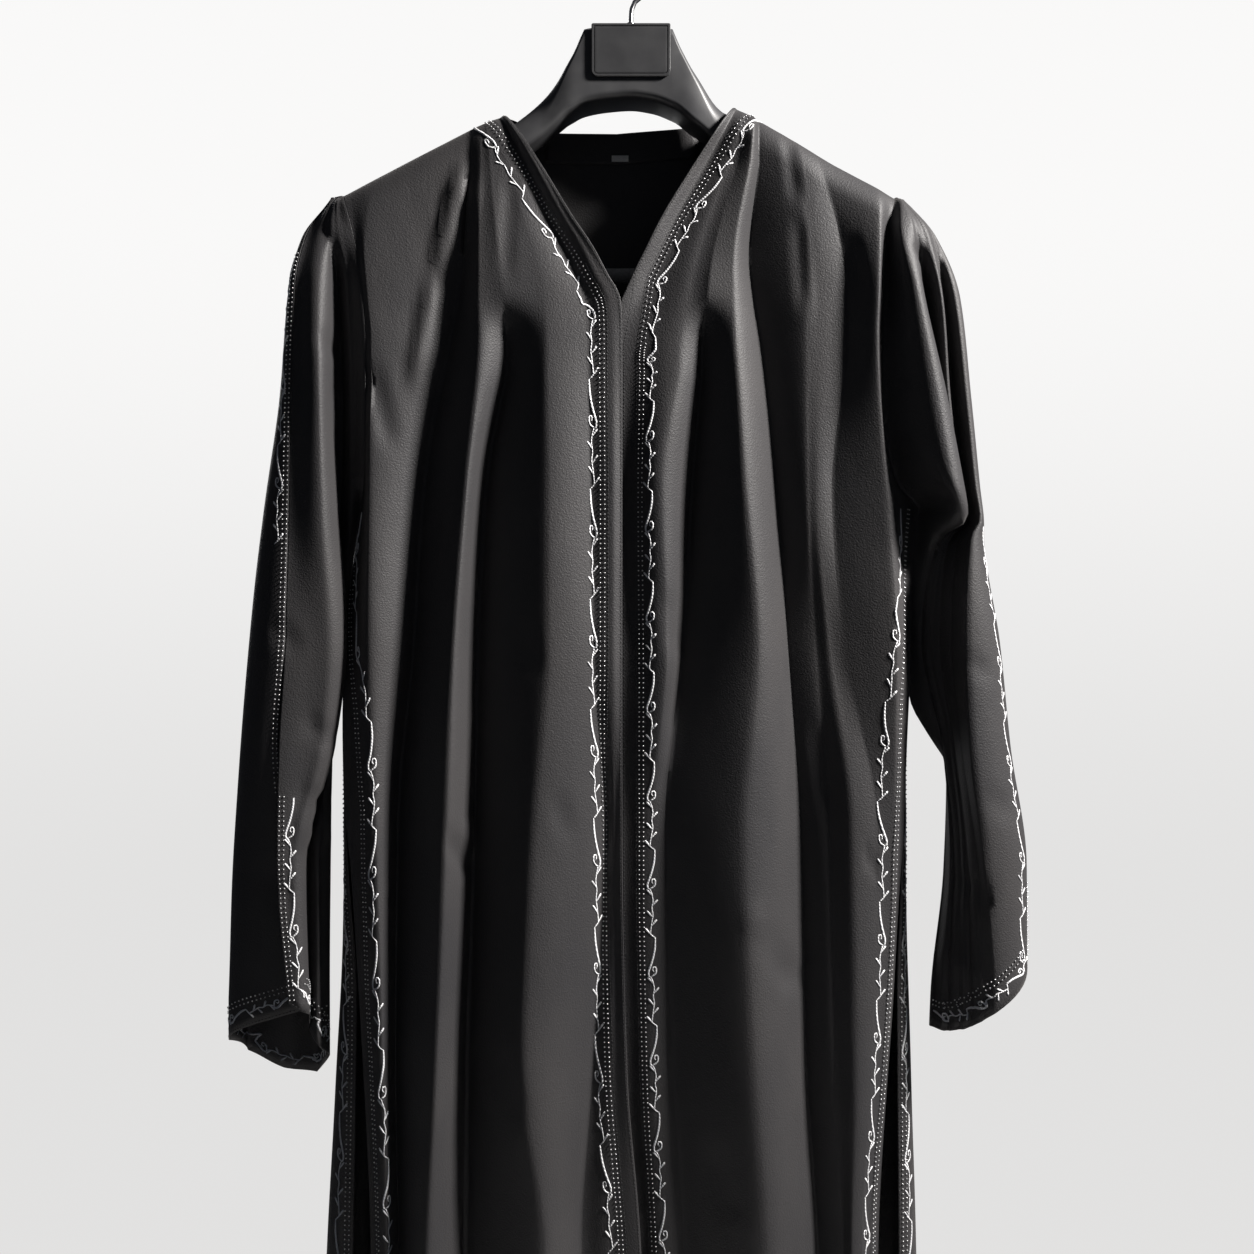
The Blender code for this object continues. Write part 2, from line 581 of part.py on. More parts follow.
def material(name):
    """A plain Principled material from the table of finishes."""
    if name in bpy.data.materials:
        return bpy.data.materials[name]
    finish = FINISHES[name]
    made = bpy.data.materials.new(name)
    made.use_nodes = True
    shader = made.node_tree.nodes["Principled BSDF"]
    shader.inputs["Base Color"].default_value = (*finish.colour, 1.0)
    shader.inputs["Roughness"].default_value = finish.roughness
    shader.inputs["Metallic"].default_value = finish.metallic
    made.diffuse_color = (*finish.colour, 1.0)
    return made


def place(obj, finish, collection):
    """Give an object its finish and put it in the collection."""
    obj.data.materials.clear()
    obj.data.materials.append(material(finish))
    for home in list(obj.users_collection):
        home.objects.unlink(obj)
    collection.objects.link(obj)
    return obj


def mesh_object(name, vertices, faces, finish, collection):
    """A smooth-shaded mesh object from points in millimetres."""
    mesh = bpy.data.meshes.new(name)
    mesh.from_pydata([tuple(np.asarray(v) * MM) for v in vertices], [], faces)
    mesh.shade_smooth()
    obj = bpy.data.objects.new(name, mesh)
    collection.objects.link(obj)
    return place(obj, finish, collection)


def cloth(name, points, collection, finish="crepe", thickness=WALL):
    """A cloth wall: the open grid with a Solidify modifier of the wall's thickness."""
    rows, columns = points.shape[:2]
    faces = [(r * columns + c, (r + 1) * columns + c, (r + 1) * columns + c + 1,
              r * columns + c + 1)
             for r in range(rows - 1) for c in range(columns - 1)]
    obj = mesh_object(name, points.reshape(-1, 3), faces, finish, collection)
    wall = obj.modifiers.new("wall", "SOLIDIFY")
    wall.thickness = thickness * MM
    wall.offset = 0.0
    return obj


def rod(name, route, radius, finish, collection, sides=2):
    """A round rod along a route: a curve with a bevel and filled caps."""
    curve = bpy.data.curves.new(name, "CURVE")
    curve.dimensions = "3D"
    curve.bevel_depth = radius * MM
    curve.bevel_resolution = sides
    curve.use_fill_caps = True
    spline = curve.splines.new("POLY")
    spline.points.add(len(route) - 1)
    for point, (x, y, z) in zip(spline.points, route):
        point.co = (x * MM, y * MM, z * MM, 1)
    obj = bpy.data.objects.new(name, curve)
    collection.objects.link(obj)
    return place(obj, finish, collection)


def arc(centre, radius, start, end, count):
    """Points on an arc in the XZ plane, angles in degrees from +X towards +Z."""
    angles = np.radians(np.linspace(start, end, count))
    return [(centre[0] + radius * math.cos(a), 0.0, centre[1] + radius * math.sin(a))
            for a in angles]


def make_fronts(collection):
    """Both front panels and the under layer of the closing strip."""
    left = front_points(FRONT_LEFT_LINES, SHOULDER_LEFT, SIDE_LEFT, NECK_EDGE_LEFT,
                        KEPT_LEFT, FRONT_STEPS)
    right = front_points(FRONT_RIGHT_LINES, SHOULDER_RIGHT, SIDE_RIGHT, NECK_EDGE_RIGHT,
                         KEPT_RIGHT, FRONT_STEPS)
    cloth("front_left", left, collection)
    cloth("front_right", right, collection)

    heights = left[:, -1, 2]
    rows = (heights <= PLACKET_TOP) & (heights >= PLACKET_END)
    row_points = left[rows][:, -LAPPED_COLUMNS:]
    strip = []
    for share in np.linspace(0, 1, PLACKET_COLUMNS):
        x = row_points[:, -1, 0] - PLACKET_WIDTH * (1 - share)
        y = [np.interp(x[i], row_points[i, :, 0], row_points[i, :, 1])
             for i in range(len(x))]
        strip.append(np.stack([x, np.array(y), heights[rows]], axis=1))
    strip = moved_in(np.array(strip).transpose(1, 0, 2), PLACKET_STEP, face=-1)
    cloth("placket", strip, collection)


def make_back(collection):
    """The back panel with the facing and the label inside its neck."""
    back = back_points(BACK_STEPS)
    cloth("back", back, collection)

    top = back[0]
    inside = (top[:, 0] > SHOULDER_LEFT[0][0] + FACING_INSET) & (
        top[:, 0] < SHOULDER_RIGHT[0][0] - FACING_INSET)
    columns = back[:, inside]
    facing = []
    for share in np.linspace(FACING_START, 1, FACING_ROWS):
        row = [[np.interp(-(columns[0, c, 2] - share * FACING_DEPTH), -columns[:, c, 2],
                          columns[:, c, axis]) for axis in range(3)]
               for c in range(columns.shape[1])]
        facing.append(row)
    facing = moved_in(np.array(facing), LAYER_STEP, face=1)
    cloth("neck_facing", facing, collection)

    depth = (np.interp(LABEL_CENTRE, facing[-1, :, 0], facing[-1, :, 1])
             - (WALL + LABEL_THICKNESS) / 2 - SEAM_GAP)
    across = LABEL_CENTRE + LABEL_WIDTH * np.array([-0.5, 0, 0.5])
    label = [[(x, depth, LABEL_TOP - LABEL_HEIGHT * share) for x in across]
             for share in (0, 0.5, 1)]
    cloth("label", np.array(label), collection, "label_tape", LABEL_THICKNESS)


def make_sleeves(collection):
    """Both sleeves, each in two halves."""
    left = (SIDE_LEFT, SHOULDER_LEFT, SLEEVE_LEFT_UNDERARM)
    right = (SIDE_RIGHT, SHOULDER_RIGHT, SLEEVE_RIGHT_UNDERARM)
    halves = (
        ("sleeve_left_front", SLEEVE_LEFT_FRONT, SLEEVE_LEFT_LEVELS, CUFF_LEFT_FRONT, -1, left),
        ("sleeve_left_back", SLEEVE_LEFT_BACK, SLEEVE_LEFT_LEVELS, CUFF_LEFT_BACK, 1, left),
        ("sleeve_right_front", SLEEVE_RIGHT_FRONT, SLEEVE_RIGHT_LEVELS, CUFF_RIGHT_FRONT, -1,
         right),
        ("sleeve_right_back", SLEEVE_RIGHT_BACK, SLEEVE_RIGHT_LEVELS, CUFF_RIGHT_BACK, 1, right),
    )
    for name, lines, levels, cuff, face, (side, ridge, underarm) in halves:
        points = sleeve_points(lines, levels, cuff, face, side, ridge, underarm, SLEEVE_STEPS)
        cloth(name, points, collection)


def hanger_section(across, top, bottom):
    """One section of the hanger: flat in front with small corners at the neck, and a full
    round on top where the cloth lies on it."""
    on_wing = ease((abs(across) - WING_START) / WING_BLEND)
    half = NECK_HALF_DEPTH + (WING_HALF_DEPTH - NECK_HALF_DEPTH) * on_wing
    corner_depth = TOP_CORNER + (half - TOP_CORNER) * on_wing
    corner_height = min(TOP_CORNER + (WING_ROUND - TOP_CORNER) * on_wing,
                        TOP_SHARE * (top - bottom))
    low_corner = min(LOW_CORNER, LOW_SHARE * (top - bottom))
    points = []
    for side in (1, -1):
        turns = np.radians(np.linspace(0, 90, 5))
        turns = turns if side == 1 else turns[::-1]
        points += [(across, side * (half - corner_depth + corner_depth * math.cos(t)),
                    top - corner_height + corner_height * math.sin(t)) for t in turns]
    for side in (-1, 1):
        turns = np.radians((0, 45, 90))
        turns = turns if side == -1 else turns[::-1]
        points += [(across, side * (half - low_corner + low_corner * math.cos(t)),
                    bottom + low_corner - low_corner * math.sin(t)) for t in turns]
    return points


def hanger_sections():
    """Across, top and bottom of each hanger section, with the shoulders under the cloth."""
    wings = []
    for ridge in (SHOULDER_LEFT, SHOULDER_RIGHT):
        neck_x, tip_x = ridge[0][0], ridge[-1][0]
        tip_x -= math.copysign(HANGER_TIP_INSET, tip_x)
        wing = []
        for share in WING_SHARES:
            x = neck_x + share * (tip_x - neck_x)
            top = float(shoulder_height(ridge, x)) - HANGER_CLEARANCE
            height = (WING_HEIGHT + WING_SPREAD * (1 - share)
                      + (WING_TIP_HEIGHT - WING_HEIGHT) * share ** 2)
            wing.append((x, top, top - height))
        wings.append(wing)
    left, right = wings
    neck = []
    for x, top, bottom in HANGER_NECK:
        if abs(x) > UNDER_CLOTH:
            ridge = SHOULDER_LEFT if x < 0 else SHOULDER_RIGHT
            top = min(top, float(shoulder_height(ridge, x)) - HANGER_CLEARANCE)
        neck.append((x, top, bottom))
    return left[::-1] + neck + right


def make_hanger(collection):
    """The hanger's body, bare plate, hook and trouser bar."""
    sections = hanger_sections()
    vertices, faces = [], []
    for across, top, bottom in sections:
        vertices += hanger_section(across, top, bottom)
    ring = len(vertices) // len(sections)
    for s in range(len(sections) - 1):
        for k in range(ring):
            a, b = s * ring + k, s * ring + (k + 1) % ring
            faces.append((a, b, b + ring, a + ring))
    faces.append(tuple(reversed(range(ring))))
    faces.append(tuple((len(sections) - 1) * ring + k for k in range(ring)))
    mesh_object("hanger_body", vertices, faces, "hanger_plastic", collection)

    plate = bpy.data.meshes.new("hanger_plate")
    form = bmesh.new()
    bmesh.ops.create_cube(form, size=1.0)
    bmesh.ops.scale(form, vec=(PLATE_WIDTH * MM, PLATE_THICKNESS * MM, PLATE_HEIGHT * MM),
                    verts=form.verts)
    upright = [e for e in form.edges
               if abs(e.verts[0].co.y - e.verts[1].co.y) > 0.5 * PLATE_THICKNESS * MM
               and e.verts[0].co.z < 0]
    bmesh.ops.bevel(form, geom=upright, offset=PLATE_CORNER * MM, segments=4, profile=0.5,
                    affect="EDGES")
    form.to_mesh(plate)
    form.free()
    obj = bpy.data.objects.new("hanger_plate", plate)
    obj.location = (0, -(NECK_HALF_DEPTH + SEAM_GAP + PLATE_THICKNESS / 2) * MM,
                    (PLATE_TOP - PLATE_HEIGHT / 2) * MM)
    collection.objects.link(obj)
    place(obj, "plate_plastic", collection)

    radius = HOOK_INNER_RADIUS + HOOK_WIRE / 2
    centre = (0.0, -HOOK_INNER_RADIUS)
    stem = [(0, 0, HOOK_FOOT)] + HOOK_STEM
    route = stem + arc(centre, radius, HOOK_START_ANGLE, HOOK_END_ANGLE, HOOK_POINTS)
    rod("hanger_hook", route, HOOK_WIRE / 2, "steel", collection)

    ends = []
    for side in (-1, 1):
        x = side * BAR_HALF_SPAN
        under = np.interp(x, [section[0] for section in sections],
                          [section[2] for section in sections])
        bend = arc((x - side * BAR_BEND, BAR_HEIGHT + BAR_BEND), BAR_BEND,
                   0 if side > 0 else 180, -90 if side > 0 else 270, 5)
        end = [(x, 0.0, float(under) - BAR_SEAT)] + bend
        ends.append(end)
    rod("hanger_bar", ends[0] + ends[1][::-1], BAR_RADIUS, "bar_felt", collection)


def main():
    """Clear the scene and build every piece."""
    for obj in list(bpy.data.objects):
        bpy.data.objects.remove(obj)
    collection = bpy.data.collections.new(OBJECT_NAME)
    bpy.context.scene.collection.children.link(collection)
    make_fronts(collection)
    make_back(collection)
    make_sleeves(collection)
    make_hanger(collection)


main()
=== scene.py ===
# %% [markdown]
# # A black abaya on a suit hanger
#
# An abaya is a long open-front robe. This one is cut from black satin-faced crepe, has a V neck,
# two front panels that meet under a closing strip, one back panel and two-piece sleeves. A white
# thread vine and two rows of small silver beads follow its edges. It hangs from a moulded suit
# hanger.
#
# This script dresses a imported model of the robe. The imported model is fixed: it gives the sizes and
# the rigid solids. Everything here is laid over it, in metres, with +X to the viewer's right, +Y
# away from the viewer and +Z up. The tables are in millimetres, because that is how a maker would
# measure cloth.

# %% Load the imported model
import math
from collections import namedtuple
from itertools import combinations

import bpy
import numpy as np
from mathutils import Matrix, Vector


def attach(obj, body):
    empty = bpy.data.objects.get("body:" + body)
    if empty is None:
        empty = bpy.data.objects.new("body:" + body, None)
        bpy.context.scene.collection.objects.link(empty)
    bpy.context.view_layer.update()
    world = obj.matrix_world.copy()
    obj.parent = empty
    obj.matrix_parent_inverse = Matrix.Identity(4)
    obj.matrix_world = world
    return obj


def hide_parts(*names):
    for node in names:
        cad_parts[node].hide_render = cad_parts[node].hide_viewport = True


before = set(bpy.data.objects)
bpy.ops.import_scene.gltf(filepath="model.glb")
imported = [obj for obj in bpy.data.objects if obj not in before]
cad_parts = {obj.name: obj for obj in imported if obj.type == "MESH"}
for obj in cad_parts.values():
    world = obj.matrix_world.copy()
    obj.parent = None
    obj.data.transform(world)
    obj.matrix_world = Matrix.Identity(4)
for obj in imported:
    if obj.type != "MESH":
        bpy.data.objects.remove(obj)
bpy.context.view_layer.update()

MM = 0.001
ROOT = "root"
scene = bpy.context.scene
print("packed nodes:", sorted(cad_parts))

# %% [markdown]
# ## The camera
#
# The photograph was taken straight from the front, with the camera level with the waist and a
# little over a metre away. A camera could be placed by eye. Here it is worked out: the picture is
# square, the robe's front lies in one plane, and the picture is 1003 mm wide at that plane. The
# focal length follows from that width and the distance, so the perspective is right as well.

# %% Camera
CAMERA_PLACE = (-3.2, -1185.0, -569.0)
FRONT_PLANE = -35.0
PICTURE_WIDTH = 1003.2
SENSOR = 36.0
NEAREST = 0.05

lens_data = bpy.data.cameras.new("camera")
lens_data.sensor_width = SENSOR
lens_data.lens = SENSOR * (FRONT_PLANE - CAMERA_PLACE[1]) / PICTURE_WIDTH
lens_data.clip_start = NEAREST
camera = bpy.data.objects.new("camera", lens_data)
camera.location = [v * MM for v in CAMERA_PLACE]
camera.rotation_euler = (math.radians(90), 0, 0)
scene.collection.objects.link(camera)
scene.camera = camera
print("lens", round(lens_data.lens, 2), "mm")

# %% [markdown]
# ## How the cloth is described
#
# Hanging cloth could be simulated, but a simulation gives its own folds and not the ones in the
# photograph. A sculpted mesh would work too, and would be hard to change. Here each panel is read
# from a few fold lines that run down the cloth. A line says, at a short list of heights, how far
# across it lies and how far it stands forward. Between two lines the cloth runs along a simple
# curve, and the name of that curve is in the table:
#
# - rise is level at both lines, like half a wave,
# - fall is level at the first line and slopes into a crease at the second,
# - climb slopes up from a crease and is level at the second,
# - over is level at the first and turned right away at the second, and up is its mirror image,
# - flat is straight.

# %% Fold line types
RISE, FALL, CLIMB, OVER, UP, FLAT = "rise", "fall", "climb", "over", "up", "flat"
FALL_POWER = 1.7
CLIMB_POWER = 1.25
Line = namedtuple("Line", "name bend across depth")
Spot = namedtuple("Spot", "height across depth")


def smooth_between(levels, values, at):
    """Read a table at other heights: a cubic through the values that never overshoots them."""
    order = np.argsort(levels)
    x = np.asarray(levels, float)[order]
    y = np.asarray(values, float)[order]
    step = np.diff(x)
    slope = np.diff(y) / step
    tangent = np.zeros(len(x))
    left, right = 2 * step[1:] + step[:-1], step[1:] + 2 * step[:-1]
    with np.errstate(divide="ignore", invalid="ignore"):
        mean = (left + right) / (left / slope[:-1] + right / slope[1:])
    tangent[1:-1] = np.where(slope[:-1] * slope[1:] > 0, mean, 0.0)
    tangent[0], tangent[-1] = slope[0], slope[-1]
    at = np.clip(np.asarray(at, float), x[0], x[-1])
    i = np.clip(np.searchsorted(x, at) - 1, 0, len(step) - 1)
    t = (at - x[i]) / step[i]
    return (y[i] * (1 + 2 * t) * (1 - t) ** 2 + y[i + 1] * (3 - 2 * t) * t ** 2
            + step[i] * (tangent[i] * t * (1 - t) ** 2 - tangent[i + 1] * (1 - t) * t ** 2))


def ease(t):
    """A smooth step from 0 to 1."""
    t = np.clip(t, 0, 1)
    return t * t * (3 - 2 * t)


def between(bend, x0, y0, x1, y1, t):
    """The cloth's place, a share t of the way from one fold line to the next."""
    if bend == RISE:
        return x0 + (x1 - x0) * t, y0 + (y1 - y0) * (1 - math.cos(math.pi * t)) / 2
    if bend == FALL:
        return x0 + (x1 - x0) * t, y0 + (y1 - y0) * t ** FALL_POWER
    if bend == CLIMB:
        return x0 + (x1 - x0) * t, y1 + (y0 - y1) * (1 - t) ** CLIMB_POWER
    turn = t * math.pi / 2
    if bend == OVER:
        return x0 + (x1 - x0) * math.sin(turn), y1 + (y0 - y1) * math.cos(turn)
    if bend == UP:
        return x1 + (x0 - x1) * math.cos(turn), y0 + (y1 - y0) * math.sin(turn)
    return x0 + (x1 - x0) * t, y0 + (y1 - y0) * t


print("a rise runs", [round(between(RISE, 0, 0, 1, 1, t / 4)[1], 2) for t in range(5)])

# %% [markdown]
# ## The fronts
#
# The two fronts hang from the shoulder seams. Light comes from the right, so a flank that faces
# right is pale and the next one is dark: the tall dark arches in the photograph are the flanks of
# two deep folds. The neck edge cuts each panel off on a slant, and below it the left front lies
# over the right one. The side edges follow the armhole, then the side seam, and then a slit that
# opens towards the hem.

# %% Shoulders, armholes and neck edges
HEM_HEIGHT = -1585
# Shoulder ridges, from the neck out to the tip: across, height
SHOULDER_LEFT = ((-104, -150), (-128, -159), (-182, -187), (-235.5, -215))
SHOULDER_RIGHT = ((85, -143), (108, -155), (164, -189), (216, -217))

# Armholes and, below them, the front panels' side edges
SIDE_LEFT = (
    Spot(-215, -235.5, -22), Spot(-245, -226, -23), Spot(-290, -218, -25), Spot(-350, -213.5, -28),
    Spot(-400, -214, -25), Spot(-440, -217, -15), Spot(-470, -222, -0.85), Spot(-520, -228, -5),
    Spot(-580, -233, -14), Spot(-640, -233, -24), Spot(-700, -232, -25), Spot(-770, -226, -24),
    Spot(-867, -220, -22), Spot(-1067, -211, -20), Spot(HEM_HEIGHT, -206, -27),
)
SIDE_RIGHT = (
    Spot(-217, 216, -22), Spot(-245, 209, -23), Spot(-290, 204.5, -25), Spot(-345, 202, -28),
    Spot(-385, 202, -26), Spot(-425, 207, -20), Spot(-455, 220, -10), Spot(-470, 236, -0.85),
    Spot(-520, 232, -2), Spot(-570, 229, -9), Spot(-627, 226, -17), Spot(-740, 221, -17),
    Spot(-790, 218, -15), Spot(-867, 214, -13), Spot(-1067, 202, -12), Spot(HEM_HEIGHT, 196, -12),
)
ARMHOLE_BOTTOM = -470

# Neck edges of the fronts, from the neck point down to where each turns into its front edge:
# across, height
NECK_EDGE_LEFT = (
    (-104, -150), (-84, -179), (-67.5, -205), (-46.5, -240), (-30.5, -264), (-17.7, -288),
    (-8.8, -304), (-7.2, -323), (-7, -365),
)
NECK_EDGE_RIGHT = (
    (85, -143), (66, -172), (43.5, -207), (23.3, -241), (10.4, -267), (2.4, -283), (-5.6, -301),
    (-15, -320), (-24, -338), (-29, -365),
)
NECK_ZONE_END = -365
BACK_NECK_EDGE = ((-60, -153), (-12, -154), (45, -149))
NECK_TURN_LEFT = 30
NECK_TURN_RIGHT = 6

print("shoulder seams", round(math.dist(SHOULDER_LEFT[0], SHOULDER_LEFT[-1])), "and",
      round(math.dist(SHOULDER_RIGHT[0], SHOULDER_RIGHT[-1])), "mm")

# %% [markdown]
# The fold lines of the fronts were read from the photograph, down to its lower edge. Only the last
# height, the hem, lies below the picture, and there the lines simply run on. Two straight panels
# would have been quicker, but the folds are what makes cloth look hung.

# %% Fold lines of the two fronts
# Fold lines of the fronts, from the viewer's left to right, at these heights
LEVELS = (-195, -267, -306, -335, -455, -587, -727, -925, -1067, HEM_HEIGHT)
FRONT_LEFT_LINES = (
    Line("side", RISE, None, None),
    Line("side fold", FALL, (-202, -214, -211, -208, -209, -208, -204, -199, -196, -196),
         (-25, -27, -28, -30, -33, -38, -38, -34, -32, -40)),
    Line("side crease", CLIMB, (-130, -135, -140, -146, -168, -177, -190, -192, -189, -186),
         (-22, -17, -15, -14, -13, -13, -14, -15, -16, -14)),
    Line("middle fold", FALL, (-121, -122, -122, -121, -131, -141, -147, -155, -162, -170),
         (-26, -32, -34, -36, -41, -45, -47, -47, -46, -54)),
    Line("middle crease", CLIMB, (-93, -90, -84, -93, -119, -126, -128, -134, -136, -143),
         (-27, -34, -35, -21, -13, -12, -12, -12, -12, -12)),
    Line("front fold", FALL, (-62, -64, -68, -68, -66, -66, -77, -85, -69, -72),
         (-27, -33, -35, -38, -46, -48, -49, -49, -45, -54)),
    Line("strip groove", RISE, (-34, -34, -34, -34, -32, -30, -20, -31, -41, -40),
         (-25, -27, -30, -33, -35, -37, -25, -19, -17, -18)),
    Line("closing strip", RISE, (-15, -15, -15, -15, -15, -15, -13, -14, -16, 0),
         (-31, -34, -35, -35, -38, -39, -29, -24, -22, -26)),
    Line("front edge", RISE, (-7, -7, -7, -7, -7, -7, -7, -3, 8, 24),
         (-31, -35, -35, -34, -35, -36, -31, -27, -25, -28)),
)
FRONT_RIGHT_LINES = (
    Line("under edge", RISE, (-29, -29, -29, -29, -29, -29, -29, -25, -17, 0),
         (-27, -31, -31, -29, -29, -30, -21, -15, -13, -16)),
    Line("lap", RISE, (-7, -7, -7, -7, -7, -7, -7, -3, 8, 24),
         (-22, -25, -27, -28, -30, -31, -22, -16, -14, -17)),
    Line("front fold", FALL, (34, 36, 40, 40, 24, 28, 16, 19, 28, 40),
         (-26, -31, -34, -36, -43, -41, -27, -22, -20, -22)),
    Line("front crease", CLIMB, (53, 57, 66, 61, 49, 41, 28, 34, 43, 54),
         (-27, -34, -38, -25, -16, -19, -24, -19, -17, -18)),
    Line("middle fold", FALL, (80, 70, 75, 81, 90, 100, 89, 97, 107, 118),
         (-31, -35, -38, -41, -47, -48, -50, -50, -48, -58)),
    Line("middle crease", CLIMB, (103, 96, 100, 105, 118, 128, 138, 143, 152, 166),
         (-18, -12, -12, -12, -13, -13, -13, -13, -13, -12)),
    Line("inner bend", RISE, (134, 141, 141, 141, 142, 149, 158, 163, 170, 183),
         (-26, -29, -29, -28, -28, -21, -24, -26, -24, -24)),
    Line("side fold", FALL, (142, 150, 152, 152, 150, 161, 179, 181, 178, 187),
         (-26, -29, -28, -28, -29, -25, -34, -34, -30, -34)),
    Line("side crease", CLIMB, (153, 171, 175, 175, 162, 172, 197, 193, 186, 190.5),
         (-25, -26, -26, -26, -26, -27, -31, -30, -28, -30)),
    Line("armhole fold", RISE, (199, 198, 197, 196, 203, 212, 211, 204, 193.5, 193.5),
         (-28, -38, -40, -40, -38, -37, -30, -24, -22, -22)),
    Line("side", RISE, None, None),
)

# Which line is the last to run up to the shoulder seam, counted from 0
KEPT_LEFT = 3
KEPT_RIGHT = 5

print(len(FRONT_LEFT_LINES), "lines on the left front,", len(FRONT_RIGHT_LINES), "on the right")

# %% [markdown]
# The next helpers read those tables. A shoulder is a ridge line, and the cloth rolls over it in a
# quarter circle before it hangs free. Every column of the grid starts at the ridge, so the shoulder
# seam stays a clean edge and no triangle crosses it.

# %% Reading the tables
SHOULDER_ROLL = 30
SEAM_SLIVER = 0.07
RIDGE_STEPS = 6


def shoulder_height(ridge, across):
    """Height of a shoulder's ridge, held level past the neck point and the tip."""
    points = sorted(ridge)
    return np.interp(across, [p[0] for p in points], [p[1] for p in points])


def edge_at(spots, height):
    """Across and depth of an edge at some heights."""
    heights = [spot.height for spot in spots]
    return (smooth_between(heights, [spot.across for spot in spots], height),
            smooth_between(heights, [spot.depth for spot in spots], height))


def neck_edge_at(edge, height):
    """Across of a front's neck edge at some heights."""
    return smooth_between([point[1] for point in edge], [point[0] for point in edge], height)


def shoulder_roll(ridge, across, height):
    """How far the cloth has come over the shoulder: 0 on the ridge, 1 once it hangs free."""
    drop = shoulder_height(ridge, across) - height
    share = np.clip(drop / SHOULDER_ROLL, 0, 1)
    return np.sqrt(1 - (1 - share) ** 2)


def lines_at(lines, levels, height, first, last):
    """Across and depth of every fold line. Its first or last line may be an edge of the piece."""
    across, depth = [], []
    for line in lines:
        if line.across is not None:
            across.append(smooth_between(levels, line.across, height))
            depth.append(smooth_between(levels, line.depth, height))
        else:
            edge = first if not across else last
            across.append(edge[0])
            depth.append(edge[1])
    return np.array(across), np.array(depth)


def section_points(lines, levels, places, height, first, last):
    """Across and depth of every column at its own height, and the fold lines' places across."""
    across, depth = lines_at(lines, levels, height, first, last)
    points = []
    for column, place in enumerate(places):
        i = min(int(place), len(lines) - 2)
        points.append(between(lines[i].bend, across[i, column], depth[i, column],
                              across[i + 1, column], depth[i + 1, column], place - i))
    x, y = np.array(points).T
    return x, y, across


print("ridge above the left chest:", round(float(shoulder_height(SHOULDER_LEFT, -160))), "mm")

# %% [markdown]
# ## Rows and columns
#
# A few rows would do for straight cloth. The folds here turn sharply at their creases and the
# shoulders are round, so the grid is fine: rows crowd towards the shoulder and then follow every
# 8 or 9 mm. Each stretch between two fold lines has 14 columns on the fronts and 8 on the back.

# %% Rows and columns
UPPER_END = -420
UPPER_ROWS = 46
UPPER_CROWDING = 1.8
LOWER_ROWS = 136
FRONT_STEPS = 14
BACK_STEPS = 8


def places_along(lines, steps, seams):
    """Places of the columns, counted in fold lines, with one close to each seamed edge."""
    places = []
    for i, line in enumerate(lines[:-1]):
        count = 1 if line.bend == FLAT else steps
        places += [i + k / count for k in range(count)]
    places.append(len(lines) - 1)
    if "first" in seams:
        places.insert(1, SEAM_SLIVER / 2)
    if "last" in seams:
        places.insert(-1, len(lines) - 1 - SEAM_SLIVER / 2)
    return places


def upper_heights(top):
    """Heights of the upper rows, for columns that start at these heights."""
    shares = np.linspace(0, 1, UPPER_ROWS) ** UPPER_CROWDING
    return [top + share * (UPPER_END - top) for share in shares]


def panel_heights(top):
    """Heights of a panel's rows: the upper rows follow the shoulder, the rest are level."""
    lower = np.linspace(UPPER_END, HEM_HEIGHT, LOWER_ROWS + 1)[1:]
    return upper_heights(top) + [np.full(len(top), row) for row in lower]


print("rows per panel:", UPPER_ROWS + LOWER_ROWS)

# %% [markdown]
# ## Weaving the front panels
#
# The fold lines near the side run right up to the shoulder seam. Those near the middle end at the
# slanted neck edge instead, so above the point of the V they crowd together between the last kept
# line and the edge. Cutting the panel with a boolean would leave a ragged edge; moving the columns
# keeps the edge a true edge loop, which the trims need later.

# %% Grid of a front panel
def front_points(lines, ridge, side, neck_edge, kept):
    """Grid of a front panel's middle surface, rows from the shoulder down to the hem."""
    side_is_first = lines[0].across is None
    places = np.array(places_along(lines, FRONT_STEPS, {"first" if side_is_first else "last"}))
    crowded = places > kept if side_is_first else places < kept

    def section(height):
        edge = edge_at(side, height)
        x, y, across = section_points(lines, LEVELS, places, height, edge, edge)
        return x, y, across[kept]

    low = np.full(len(places), float(NECK_ZONE_END))
    low_x, _, kept_x = section(low)
    low_share = (low_x - kept_x) / (neck_edge_at(neck_edge, low) - kept_x)
    top = np.full(len(places), float(ridge[0][1]))
    for _ in range(RIDGE_STEPS):
        top_x, _, kept_x = section(top)
        top_x = np.where(crowded, kept_x + low_share * (ridge[0][0] - kept_x), top_x)
        top = shoulder_height(ridge, top_x)
    top_share = (top_x - kept_x) / (neck_edge_at(neck_edge, top) - kept_x)

    rows = []
    for height in panel_heights(top):
        x, y, kept_x = section(height)
        rise = ease((height - NECK_ZONE_END) / (top - NECK_ZONE_END))
        share = low_share + (top_share - low_share) * rise
        crowded_x = kept_x + share * (neck_edge_at(neck_edge, height) - kept_x)
        x = np.where(crowded & (height > NECK_ZONE_END), crowded_x, x)
        y = y * shoulder_roll(ridge, x, height)
        rows.append(np.stack([x, y, height], axis=1))
    return np.array(rows)


front_left_grid = front_points(FRONT_LEFT_LINES, SHOULDER_LEFT, SIDE_LEFT, NECK_EDGE_LEFT,
                               KEPT_LEFT)
front_right_grid = front_points(FRONT_RIGHT_LINES, SHOULDER_RIGHT, SIDE_RIGHT, NECK_EDGE_RIGHT,
                                KEPT_RIGHT)
print("front grids:", front_left_grid.shape[:2], front_right_grid.shape[:2])

